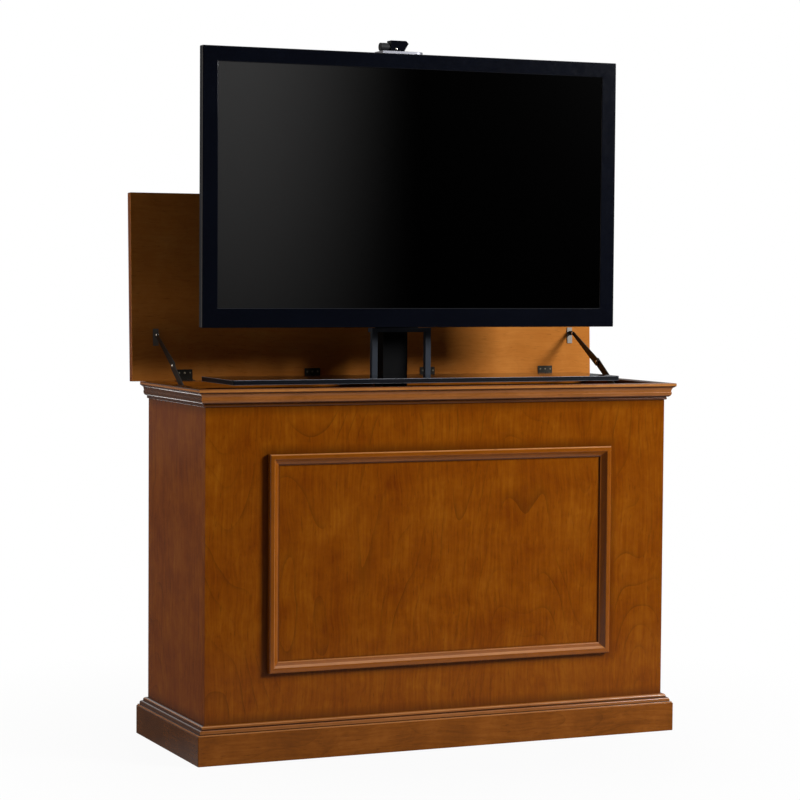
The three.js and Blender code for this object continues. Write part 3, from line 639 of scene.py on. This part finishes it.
def run_moulding(
    name, shares, size, bands, veneer, stands_for, start, across, proud, length, slopes,
):
    """A moulding from start. Its outline's shares of size lie along across and proud."""
    outline = [(a * size[0], b * size[1]) for a, b in shares]
    across, proud, start = Vector(across), Vector(proud), Vector(start)
    along = across.cross(proud)
    vertices = []
    for end in (0, 1):
        for a, b in outline:
            travel = slopes[end] * a
            reach = length - travel if end else travel
            vertices.append(start + across * a + proud * b + along * reach)
    count = len(outline)
    faces = [[i, (i + 1) % count, count + (i + 1) % count, count + i] for i in range(count)]
    faces += [list(range(count))[::-1], list(range(count, 2 * count))]
    mesh = outward_mesh(name, vertices, faces, MOULDING_SHARP_DEGREES)
    add_piece(name, mesh, "cabinet", [veneer, groove_painted_shade, crest_painted_highlight], stands_for)
    # Bands get the groove's painted shade and the crest's painted highlight.
    for i in range(count):
        middle = [(shares[i][k] + shares[(i + 1) % count][k]) / 2 for k in (0, 1)]
        for axis, low, high, finish in bands:
            if low <= middle[axis] <= high and max(middle) > 0.001:
                mesh.polygons[i].material_index = FINISHES.index(finish)


print("outline points: crown", len(CROWN_OUTLINE), "base", len(BASE_CAP_OUTLINE))

# %% Mouldings in place
panel_low, panel_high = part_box("front_panel")
half_width = panel_high.x
front_y = panel_low.y
back_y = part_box("left_side_panel")[1].y
body_depth = back_y - front_y
FORWARDS, BACKWARDS = (0, -1, 0), (0, 1, 0)
LEFTWARDS, RIGHTWARDS = (-1, 0, 0), (1, 0, 0)
UPWARDS, DOWNWARDS = (0, 0, 1), (0, 0, -1)
SIDES = {
    "front": ((half_width, front_y), FORWARDS, 2 * half_width, (-1, -1), moulding_birch),
    "left": ((-half_width, front_y), LEFTWARDS, body_depth, (-1, 0), side_moulding_birch_shaded),
    "right": ((half_width, back_y), RIGHTWARDS, body_depth, (0, -1), side_moulding_birch_shaded),
    "back": ((-half_width, back_y), BACKWARDS, 2 * half_width, (-1, -1), moulding_birch),
}
crown_size = (front_y - crown_low.y, crown_high.z - crown_low.z)
cap_size = (front_y - cap_low.y, cap_high.z - cap_low.z)
for side, (corner, out, length, ends, veneer) in SIDES.items():
    run_moulding(
        f"base_moulding_{side}", BASE_CAP_OUTLINE, cap_size, BASE_CAP_BANDS, veneer,
        f"base_cap_{side}", (*corner, cap_low.z), out, UPWARDS, length, (-1, -1),
    )
    if side != "back":
        run_moulding(
            f"crown_moulding_{side}", CROWN_OUTLINE, crown_size, CROWN_BANDS, veneer,
            f"crown_{side}", (*corner, crown_low.z), out, UPWARDS, length, ends,
        )

frame_size = (frame_bar, front_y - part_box("frame_moulding_top")[0].y)
frame_half, frame_top, frame_bottom = frame_box[1].x, frame_box[1].z, frame_box[0].z
stile = frame_top - frame_bottom
FRAME_BARS = {
    "top": ((frame_half, front_y, frame_top), DOWNWARDS, 2 * frame_half, frame_birch),
    "bottom": ((-frame_half, front_y, frame_bottom), UPWARDS, 2 * frame_half, frame_birch),
    "left": ((-frame_half, front_y, frame_top), RIGHTWARDS, stile, stile_birch),
    "right": ((frame_half, front_y, frame_bottom), LEFTWARDS, stile, stile_birch),
}
for side, (start, inwards, length, veneer) in FRAME_BARS.items():
    run_moulding(
        f"picture_frame_{side}", FRAME_OUTLINE, frame_size, FRAME_BANDS[side], veneer,
        f"frame_moulding_{side}", start, inwards, FORWARDS, length, (1, 1),
    )
print("crown", round(crown_size[0], 4), "m out, frame", round(frame_bar, 4), "m wide")

# %% [markdown]
# ## Screws and rivets
# Screws and rivets repeat all over the object, so Geometry Nodes make them: one
# head is a low dome with a cross cut into it, and the tree puts it on every
# point that it is given, turned the way the named input says. The result is
# turned into a plain mesh on its body, and the modifier goes.


# %% A tree that repeats a piece
def points_tree(name, inputs, make_piece):
    """A tree that sets the piece from make_piece on every point that it is given."""
    tree = bpy.data.node_groups.new(name, "GeometryNodeTree")
    face = tree.interface
    face.new_socket("Geometry", in_out="OUTPUT", socket_type="NodeSocketGeometry")
    inputs = {"Geometry": "Geometry", **inputs, "Turn": "Rotation", "Finish": "Material"}
    for label, kind in inputs.items():
        face.new_socket(label, in_out="INPUT", socket_type="NodeSocket" + kind)
    given = node(tree, "NodeGroupInput").outputs
    placed = node(tree, "GeometryNodeInstanceOnPoints", {
        "Points": given["Geometry"], "Instance": make_piece(tree, given),
        "Rotation": given["Turn"],
    })
    real = node(tree, "GeometryNodeRealizeInstances", {"Geometry": placed})
    painted = node(tree, "GeometryNodeSetMaterial", {
        "Geometry": real, "Material": given["Finish"],
    })
    node(tree, "NodeGroupOutput", {"Geometry": painted})
    return tree


def baked(name, points, tree, values, body, material):
    """Runs a tree on loose points and keeps its result as a plain mesh."""
    seeds = bpy.data.meshes.new(name + "_points")
    seeds.from_pydata(points, [], [])
    carrier = bpy.data.objects.new(name + "_points", seeds)
    bpy.context.scene.collection.objects.link(carrier)
    modifier = carrier.modifiers.new("tree", "NODES")
    modifier.node_group = tree
    values = {**values, "Finish": material}
    for item in tree.interface.items_tree:
        if item.in_out == "INPUT" and item.name in values:
            modifier[item.identifier] = values[item.name]
    bpy.context.view_layer.update()
    depsgraph = bpy.context.evaluated_depsgraph_get()
    mesh = bpy.data.meshes.new_from_object(carrier.evaluated_get(depsgraph))
    mesh.name = name
    carrier.modifiers.remove(modifier)
    bpy.data.objects.remove(carrier)
    smooth(mesh, BALL_SHARP_DEGREES)
    return add_piece(name, mesh, body, [material])


# %% Screw heads
SLOT_LENGTH, SLOT_WIDTH, SLOT_DEPTH = 1.15, 0.24, 1.1
TURNS = {
    "forwards": (math.pi / 2, 0, 0), "backwards": (-math.pi / 2, 0, 0), "up": (0, 0, 0),
    "left": (0, -math.pi / 2, 0), "right": (0, math.pi / 2, 0),
}


def screw_head(tree, given):
    """A flattened ball, half of it sunk, with a cross cut into its top."""
    ball = node(tree, "GeometryNodeMeshUVSphere", {"Segments": 20, "Rings": 10, "Radius": 1.0})
    size = node(tree, "CombineXYZ", {
        "X": given["Radius"], "Y": given["Radius"], "Z": given["Height"],
    })
    dome = node(tree, "GeometryNodeTransform", {"Geometry": ball, "Scale": size})
    slot_long, slot_wide = [
        node(tree, "Math", {0: given["Radius"], 1: share}, operation="MULTIPLY")
        for share in (SLOT_LENGTH, SLOT_WIDTH)
    ]
    slot_size = node(tree, "CombineXYZ", {"X": slot_long, "Y": slot_wide, "Z": given["Cross"]})
    slot = node(tree, "GeometryNodeMeshCube", {"Size": slot_size})
    lifted = node(tree, "CombineXYZ", {"X": 0.0, "Y": 0.0, "Z": given["Height"]})
    cut = node(tree, "GeometryNodeMeshBoolean", {"Mesh 1": dome}, operation="DIFFERENCE")
    for angle in (0, math.pi / 2):
        placed = node(tree, "GeometryNodeTransform", {
            "Geometry": slot, "Translation": lifted, "Rotation": (0, 0, angle),
        })
        tree.links.new(placed.outputs["Geometry"], cut.inputs["Mesh 2"])
    return cut


heads = points_tree(
    "screw_heads", {"Radius": "Float", "Height": "Float", "Cross": "Float"}, screw_head,
)


def screws(name, points, facing, radius, height, body, material, cross=None, tilt=0.0):
    x, y, z = TURNS[facing]
    return baked(name, points, heads, {
        "Radius": radius, "Height": height,
        "Cross": height * SLOT_DEPTH if cross is None else cross,
        "Turn": (x + tilt, y, z),
    }, body, material)


print("screw tree:", len(heads.nodes), "nodes")

# %% [markdown]
# ## Hinges
# Four steel butt hinges carry the lid. The leaves are thin stampings with
# tumbled edges, and three countersunk screws hold each leaf.

# %% Hinges
LEAF_EASE = 0.00025
LEAF_THICKNESS = 0.0012
LID_LEAN = math.radians(2.3)
SCREW_SHARES = (-0.34, 0.0, 0.34)
RAIL_SCREWS_IN, LID_SCREWS_DOWN, LID_LEAF_LEAN = 0.008, 0.0095, 0.00165
LEAF_SCREW = {"radius": 0.0028, "height": 0.0008, "material": screw_zinc}
rail_screws, lid_screws = [], []
for number in (1, 2, 3, 4):
    eased(f"hinge_{number}_rail_leaf", LEAF_EASE, hinge_zinc, 2)
    eased(f"hinge_{number}_lid_leaf", LEAF_EASE, hinge_zinc, 2)
    leaf_low, leaf_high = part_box(f"hinge_{number}_rail_leaf")
    _, lid_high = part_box(f"hinge_{number}_lid_leaf")
    middle = (leaf_low.x + leaf_high.x) / 2
    leaf_width = leaf_high.x - leaf_low.x
    for share in SCREW_SHARES:
        x = middle + share * leaf_width
        rail_screws.append((x, leaf_low.y + RAIL_SCREWS_IN, leaf_low.z + LEAF_THICKNESS))
        lid_screws.append((x, lid_high.y - LID_LEAF_LEAN, lid_high.z - LID_SCREWS_DOWN))
screws("hinge_rail_screws", rail_screws, "up", body="cabinet", **LEAF_SCREW)
screws("hinge_lid_screws", lid_screws, "forwards", body="lid", tilt=-LID_LEAN, **LEAF_SCREW)
print("hinge screws:", len(rail_screws) + len(lid_screws))

# %% [markdown]
# ## Folding stays
# A pressed steel stay at each end keeps the lid from falling back. The arms are
# black, with bright rivets at the knee and at the lid, and the front of the lid's
# plate is bare zinc.

# %% Folding stays
STAY_EASE = 0.0004
KNEE_RADIUS = 0.011
EAR_OFFSET = 0.003
RIVET = {"radius": 0.0042, "height": 0.0016, "material": nickel, "cross": 0.0}
joints = {joint["name"]: joint for joint in frame["joints"]}
for side, inwards, sign in (("left", "right", -1), ("right", "left", 1)):
    for part in ("foot", "lower_arm", "upper_arm"):
        eased(f"stay_{side}_{part}", STAY_EASE, black_zinc, 2)
    plate = eased(f"stay_{side}_lid_bracket", STAY_EASE, black_zinc, 2)
    refinish(plate, zinc_plate, looks_forward)
    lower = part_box(f"stay_{side}_lower_arm")
    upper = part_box(f"stay_{side}_upper_arm")
    far, near = (1, 0) if sign > 0 else (0, 1)
    knee_y, knee_z = upper[0].y + KNEE_RADIUS, upper[0].z + KNEE_RADIUS
    lid_pivot = Vector(joints[f"stay_{side}_lid_pivot"]["pos_m"])
    ear_x = upper[near].x - sign * EAR_OFFSET
    lower_body, upper_body = f"stay_{side}_lower", f"stay_{side}_upper"
    for name, point, facing, body in (
        ("knee_rivet_outer", (lower[far].x, knee_y, knee_z), side, lower_body),
        ("knee_rivet_inner", (upper[near].x, knee_y, knee_z), inwards, upper_body),
        ("lid_rivet_outer", (upper[far].x, lid_pivot.y, lid_pivot.z), side, upper_body),
        ("lid_rivet_inner", (ear_x, lid_pivot.y, lid_pivot.z), inwards, "lid"),
    ):
        screws(f"stay_{side}_{name}", [point], facing, body=body, **RIVET)
    print(side, "stay: knee at", round(knee_y, 4), round(knee_z, 4))

# %% [markdown]
# ## The lift
# Three box columns slide in each other, powder coated black. The sheet metal
# pieces that carry the television get the same coat, and their edges are eased
# as a tumbled blank's are. The U bracket of the shelf is a shade lighter. The
# bar across its top gets the shelf's black lacquer: painted shadow, where the
# television's shadow falls on it.

# %% The lift
SHEET_EASE = 0.0008
BAR_HEIGHT = 0.02
MOUNT_THICKNESS = 0.004
for name in (
    "lift_base_plate", "outer_column", "middle_column", "inner_column", "column_strap",
    "lift_motor", "mount_plate", "cross_bar_lower", "cross_bar_upper", "tv_rail_left",
    "tv_rail_right",
):
    eased(name, SHEET_EASE, powder_coat, 2)
bracket = eased("shelf_bracket", 0.002, bracket_coat)
bar_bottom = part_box("shelf_bracket")[1].z - BAR_HEIGHT
# The bar's black is painted shadow, where the television's shadow falls.
refinish(bracket, black_lacquer_and_bar_shadow, lambda polygon: polygon.center.z > bar_bottom)
eased("control_box", 0.0015, matt_plastic)
base_low, base_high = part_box("lift_base_plate")
base_screws = [
    (x, y, base_high.z)
    for x in (base_low.x + 0.02, base_high.x - 0.02)
    for y in (base_low.y + 0.015, base_high.y - 0.015)
]
screws("base_plate_screws", base_screws, "up", 0.006, 0.003, "cabinet", nickel)
mount_low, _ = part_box("mount_plate")
bar_screws = []
for name in ("cross_bar_lower", "cross_bar_upper"):
    bar_low, bar_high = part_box(name)
    bar_middle = (bar_low.z + bar_high.z) / 2
    bar_screws += [(x, mount_low.y + MOUNT_THICKNESS, bar_middle) for x in (-0.045, 0.045)]
screws("mount_screws", bar_screws, "backwards", 0.006, 0.003, "carriage", nickel)
rail_screw_points = []
for name in ("tv_rail_left", "tv_rail_right"):
    tv_rail_low, tv_rail_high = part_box(name)
    rail_middle = (tv_rail_low.x + tv_rail_high.x) / 2
    for share in (0.06, 0.3, 0.7, 0.94):
        z = tv_rail_low.z + share * (tv_rail_high.z - tv_rail_low.z)
        rail_screw_points.append((rail_middle, tv_rail_high.y, z))
screws("rail_screws", rail_screw_points, "backwards", 0.005, 0.0026, "carriage", nickel)
print("lift screws:", len(base_screws) + len(bar_screws) + len(rail_screw_points))

# %% [markdown]
# ## The shelf
# The shelf is a lacquered board. Its rounded front edge is eased more than the
# others, and shows one bright line, a painted highlight: the rounding gets a pale grey finish.

# %% The shelf
ARRIS_SLOT = 2
shelf = eased("lift_shelf", 0.005, black_lacquer_and_bar_shadow, 5)
refinish(shelf, satin_edge, lambda polygon: abs(polygon.normal.z) < 0.5)
# The bevel's rounding gets the painted highlight.
shelf.data.materials.append(arris_painted_highlight)
shelf.modifiers["eased_edges"].material = ARRIS_SLOT

# %% [markdown]
# ## The television
# The front frame is piano-black plastic with a small radius all round. The rear
# cover is moulded with a fine grain, screwed on round its edge, and it has two
# rows of upright ribs near its top, where the warm air leaves between them.

# %% The television
eased("tv_front_frame", 0.0022, gloss_plastic, 4)
eased("tv_screen", 0.0, screen_film)
eased("tv_rear_cover", 0.005, matt_plastic, 4)
cover_low, cover_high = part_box("tv_rear_cover")


def rib(tree, given):
    """A ball drawn out to the input's size."""
    ball = node(tree, "GeometryNodeMeshUVSphere", {"Segments": 12, "Rings": 8, "Radius": 0.5})
    return node(tree, "GeometryNodeTransform", {"Geometry": ball, "Scale": given["Size"]})


ribs = points_tree("vent_ribs", {"Size": "Vector"}, rib)
VENT_COUNT = 64
VENT_PITCH = 0.0105
VENT_SIZE = (0.0045, 0.002, 0.028)
VENT_MIDDLE_DOWN, VENT_ROW_OFFSET, VENT_SINK = 0.11, 0.017, 0.0002
vent_points = [
    (
        (i - (VENT_COUNT - 1) / 2) * VENT_PITCH, cover_high.y - VENT_SINK,
        cover_high.z - VENT_MIDDLE_DOWN + row * VENT_ROW_OFFSET,
    )
    for row in (-1, 1) for i in range(VENT_COUNT)
]
baked("cover_vents", vent_points, ribs, {"Size": VENT_SIZE}, "carriage", matt_plastic)
COVER_LIP, COVER_INSET = 0.016, 0.03
cover_screws = [
    (cover_low.x + share * (cover_high.x - cover_low.x), cover_low.y + COVER_LIP, z)
    for share in (0.02, 0.26, 0.5, 0.74, 0.98)
    for z in (cover_low.z + COVER_INSET, cover_high.z - COVER_INSET)
]
screws("cover_screws", cover_screws, "backwards", 0.004, 0.0016, "carriage", black_zinc)
print("vents:", len(vent_points), "cover screws:", len(cover_screws))

# %% [markdown]
# ## The lid pusher
# A brushed plate carries a black housing with cut corners. The roller in front
# of it is grey rubber with fine ribs along its length, which Geometry Nodes set
# round it. It lifts the lid as the television comes up.

# %% The lid pusher
eased("pusher_plate", 0.0008, aluminium)
eased("pusher_housing", 0.0016, gloss_plastic)
eased("pusher_roller", 0.0012, roller_rubber)
RIB_COUNT = 28
RIB_WIDTH = 0.0012
RIB_SINK = 0.0005
roller_low, roller_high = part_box("pusher_roller")
roller_middle = (roller_low + roller_high) / 2
roller_radius = (roller_high.z - roller_low.z) / 2
rib_points = []
for i in range(RIB_COUNT):
    angle = 2 * math.pi * i / RIB_COUNT
    outwards = Vector((0, math.cos(angle), math.sin(angle)))
    rib_points.append(roller_middle + outwards * (roller_radius - RIB_SINK))
baked("roller_ribs", rib_points, ribs, {
    "Size": ((roller_high.x - roller_low.x) * 0.94, RIB_WIDTH, RIB_WIDTH),
}, "roller", roller_rubber)
_, plate_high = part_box("pusher_plate")
rivet_place = (roller_high.x + 0.016, roller_middle.y - 0.013, roller_low.z + 0.006)
screw_place = (plate_high.x - 0.012, roller_middle.y, plate_high.z)
screws("housing_rivet", [rivet_place], "forwards", 0.0032, 0.0013, "carriage", nickel, cross=0.0)
screws("plate_screws", [screw_place], "up", 0.005, 0.0014, "carriage", black_zinc)
print("roller:", round(roller_radius * 2000, 1), "mm across")

# %% [markdown]
# ## The back
# The back panel is screwed on round its edge, and a black grommet lines the
# hole for the power cord.

# %% The back
back_low, back_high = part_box("back_panel")
INSET = 0.012
low_x, high_x = back_low.x + INSET, back_high.x - INSET
low_z, high_z = back_low.z + INSET, back_high.z - INSET
back_screws = []
for i in range(7):
    x = low_x + (high_x - low_x) * i / 6
    back_screws += [(x, back_high.y, z) for z in (low_z, high_z)]
for i in range(1, 4):
    z = low_z + (high_z - low_z) * i / 4
    back_screws += [(x, back_high.y, z) for x in (low_x, high_x)]
screws("back_panel_screws", back_screws, "backwards", 0.004, 0.0014, "cabinet", black_zinc)


def ring(name, outline, centre, steps, body, material):
    """A turned ring about an axis along Y. The outline holds radius and y pairs, in metres."""
    count = len(outline)
    vertices, faces = [], []
    for i in range(steps):
        angle = 2 * math.pi * i / steps
        for radius, y in outline:
            x, z = centre[0] + radius * math.cos(angle), centre[1] + radius * math.sin(angle)
            vertices.append((x, y, z))
        for k in range(count):
            following, beside = (k + 1) % count, ((i + 1) % steps) * count
            faces.append([i * count + k, i * count + following, beside + following, beside + k])
    mesh = outward_mesh(name, vertices, faces, RING_SHARP_DEGREES)
    return add_piece(name, mesh, body, [material])


CORD_HOLE = (0.45, 0.13)
HOLE_RADIUS = 0.016
ring("cord_grommet", [
    (HOLE_RADIUS - 0.0025, back_low.y - 0.0005), (HOLE_RADIUS - 0.0003, back_low.y - 0.0005),
    (HOLE_RADIUS - 0.0003, back_high.y + 0.0003), (HOLE_RADIUS + 0.005, back_high.y + 0.0003),
    (HOLE_RADIUS + 0.005, back_high.y + 0.0012), (HOLE_RADIUS + 0.003, back_high.y + 0.0022),
    (HOLE_RADIUS - 0.0012, back_high.y + 0.0022), (HOLE_RADIUS - 0.0025, back_high.y + 0.001),
], CORD_HOLE, 48, "cabinet", matt_plastic)
print("back screws:", len(back_screws))

# %% [markdown]
# ## The studio
# The cabinet stood on a white floor in front of a white wall. The key light is a
# softbox at the right of the camera, a little above the screen: the
# television's shadow on the lid gives its direction, and the width of that
# shadow's soft edge gives its size. A large warm panel at the left lifts the
# side of the cabinet, and a faint one overhead the faces that look up. A
# softbox behind, which the lacquer doesn't mirror, lights the back.
#
# The floor and the world are white to the camera, and dark to what the lacquer
# mirrors, apart from a floor that is brighter just in front of the cabinet, a dim
# wall behind it and a bright band overhead, which draws the thin lines along the
# rounded edges. A small strip light low behind the cabinet's left end is there
# for mirrored rays only: it draws the bright lines on the crown's left end.

# %% The floor
FLOOR_HALF = 9.0
FLOOR_DROP = 0.0005
floor_mesh = bpy.data.meshes.new("studio_floor")
floor_mesh.from_pydata([
    (x * FLOOR_HALF, y * FLOOR_HALF, -FLOOR_DROP)
    for x, y in ((-1, -1), (1, -1), (1, 1), (-1, 1))
], [], [(0, 1, 2, 3)])
floor = bpy.data.objects.new("studio_floor", floor_mesh)
bpy.context.scene.collection.objects.link(floor)
paper, paper_tree = new_material("white_studio_paper")
floor_mesh.materials.append(paper)
paper_ray = node(paper_tree, "LightPath").outputs
paper_place = node(paper_tree, "TexCoord").outputs["Object"]
paper_grain = node(paper_tree, "TexNoise", {"Vector": paper_place, "Scale": 3.0})
paper_colour = node(paper_tree, "Mix", {
    0: paper_grain, 6: linear("#bcbcbc"), 7: linear("#c6c6c6"),
}, data_type="RGBA")
paper_lit = node(paper_tree, "BsdfDiffuse", {"Color": paper_colour.outputs[2]})

# What mirrored rays see: brighter in a strip about FRONT_FLOOR_Y, dark elsewhere.
FRONT_FLOOR_Y = -0.9
FRONT_FLOOR_GLOSS, FLOOR_GLOSS = 0.45, 0.1
paper_axes = node(paper_tree, "SeparateXYZ", {"Vector": paper_place}).outputs
past_front = node(paper_tree, "Math", {
    0: paper_axes["Y"], 1: FRONT_FLOOR_Y,
}, operation="SUBTRACT")
off_front = node(paper_tree, "Math", {0: past_front}, operation="ABSOLUTE")
paper_gloss = node(paper_tree, "MapRange", {
    "Value": off_front, "From Min": 0.5, "From Max": 1.1,
    "To Min": FRONT_FLOOR_GLOSS, "To Max": FLOOR_GLOSS,
})
paper_strength = node(paper_tree, "Mix", {
    0: paper_ray["Is Glossy Ray"], 2: 1.0, 3: paper_gloss,
}, data_type="FLOAT")
paper_white = node(paper_tree, "Emission", {"Color": (1, 1, 1, 1), "Strength": paper_strength})

# Near the cabinet a little of the lit paper shows through, with its shadow.
WHITE_NEAR = 0.94
SHADOW_START, SHADOW_REACH = 0.5, 1.6
from_cabinet = node(paper_tree, "VectorMath", {0: paper_place}, operation="LENGTH")
white_share = node(paper_tree, "MapRange", {
    "Value": from_cabinet.outputs["Value"], "From Min": SHADOW_START,
    "From Max": SHADOW_REACH, "To Min": WHITE_NEAR, "To Max": 1.0,
})
seen = paper_ray["Is Camera Ray"]
for ray in ("Is Transmission Ray", "Is Glossy Ray"):
    seen = node(paper_tree, "Math", {0: seen, 1: paper_ray[ray]}, operation="MAXIMUM")
paper_share = node(paper_tree, "Math", {0: seen, 1: white_share}, operation="MULTIPLY")
paper_mix = node(paper_tree, "MixShader", {0: paper_share, 1: paper_lit, 2: paper_white})
node(paper_tree, "OutputMaterial", {"Surface": paper_mix})
print("floor:", 2 * FLOOR_HALF, "m wide, shadow to", SHADOW_REACH, "m")

# %% The world
AMBIENT = 0.01
AMBIENT_TINT = (1.0, 0.4, 0.15, 1.0)
FRONT_GLOSS, BACK_GLOSS = 0.02, 0.16
OVERHEAD_GLOSS = 1.1
world = bpy.data.worlds.new("studio_world")
world.use_nodes = True
world_tree = world.node_tree
world_tree.nodes.clear()
world_ray = node(world_tree, "LightPath").outputs
direction = node(world_tree, "SeparateXYZ", {
    "Vector": node(world_tree, "TexCoord").outputs["Generated"],
}).outputs
wall = node(world_tree, "MapRange", {
    "Value": direction["Y"], "From Min": -0.1, "From Max": 0.35,
    "To Min": FRONT_GLOSS, "To Max": BACK_GLOSS,
})
high_up = node(world_tree, "MapRange", {
    "Value": direction["Z"], "From Min": 0.2, "From Max": 0.36,
})
not_in_front = node(world_tree, "MapRange", {
    "Value": direction["Y"], "From Min": -0.8, "From Max": -0.2,
    "To Min": 0.0, "To Max": OVERHEAD_GLOSS,
})
overhead = node(world_tree, "Math", {0: high_up, 1: not_in_front}, operation="MULTIPLY")
studio = node(world_tree, "Math", {0: wall, 1: overhead}, operation="MAXIMUM")
mirrored = node(world_tree, "Math", {
    0: world_ray["Is Glossy Ray"], 1: world_ray["Is Transmission Ray"],
}, operation="MAXIMUM")
not_camera = node(world_tree, "Mix", {0: mirrored, 2: AMBIENT, 3: studio}, data_type="FLOAT")
by_camera = world_ray["Is Camera Ray"]
strength = node(world_tree, "Mix", {0: by_camera, 2: not_camera, 3: 1.0}, data_type="FLOAT")
not_ambient = node(world_tree, "Math", {0: mirrored, 1: by_camera}, operation="MAXIMUM")
sky_colour = node(world_tree, "Mix", {
    0: not_ambient, 6: AMBIENT_TINT, 7: (1, 1, 1, 1),
}, data_type="RGBA")
background = node(world_tree, "Background", {
    "Color": sky_colour.outputs[2], "Strength": strength,
})
node(world_tree, "OutputWorld", {"Surface": background})
bpy.context.scene.world = world
bpy.context.scene.view_settings.view_transform = "Standard"
print("world ambient:", AMBIENT)

# %% The lamps
AIM = Vector((0, 0, 0.9))
WHITE, WARM_WHITE = (1.0, 1.0, 1.0), (1.0, 0.88, 0.76)


def softbox(
    name, azimuth, elevation, distance, width, height, share, hidden_from=(), colour=WHITE,
):
    """A softbox in a direction from AIM, turned to it.

    share is the light that it gives a white wall that faces it, where 1 shows a
    colour as written, and hidden_from names the kinds of ray that miss the lamp.
    """
    a, e = math.radians(azimuth), math.radians(elevation)
    towards = Vector((math.sin(a) * math.cos(e), -math.cos(a) * math.cos(e), math.sin(e)))
    lamp = bpy.data.lights.new(name, "AREA")
    lamp.shape = "RECTANGLE"
    lamp.size = width
    lamp.size_y = height
    lamp.energy = share * math.pi ** 2 * distance ** 2
    lamp.color = colour
    holder = bpy.data.objects.new(name, lamp)
    bpy.context.scene.collection.objects.link(holder)
    holder.location = AIM + towards * distance
    holder.rotation_euler = (-towards).to_track_quat("-Z", "Y").to_euler()
    for ray in hidden_from:
        setattr(holder, "visible_" + ray, False)


softbox("key_softbox", 49, 21, 6.0, 1.7, 1.7, 1.4)
softbox("left_panel", -100, 8, 4.5, 2.6, 3.2, 0.46, colour=WARM_WHITE)
softbox("top_panel", 0, 82, 4.5, 2.5, 1.4, 0.03)
softbox("back_softbox", 158, 32, 4.5, 3.0, 2.0, 0.6, hidden_from=("camera", "glossy"))
softbox("rim_strip", -159, -19.5, 1.8, 0.3, 0.2, 0.015, hidden_from=("camera", "diffuse"))
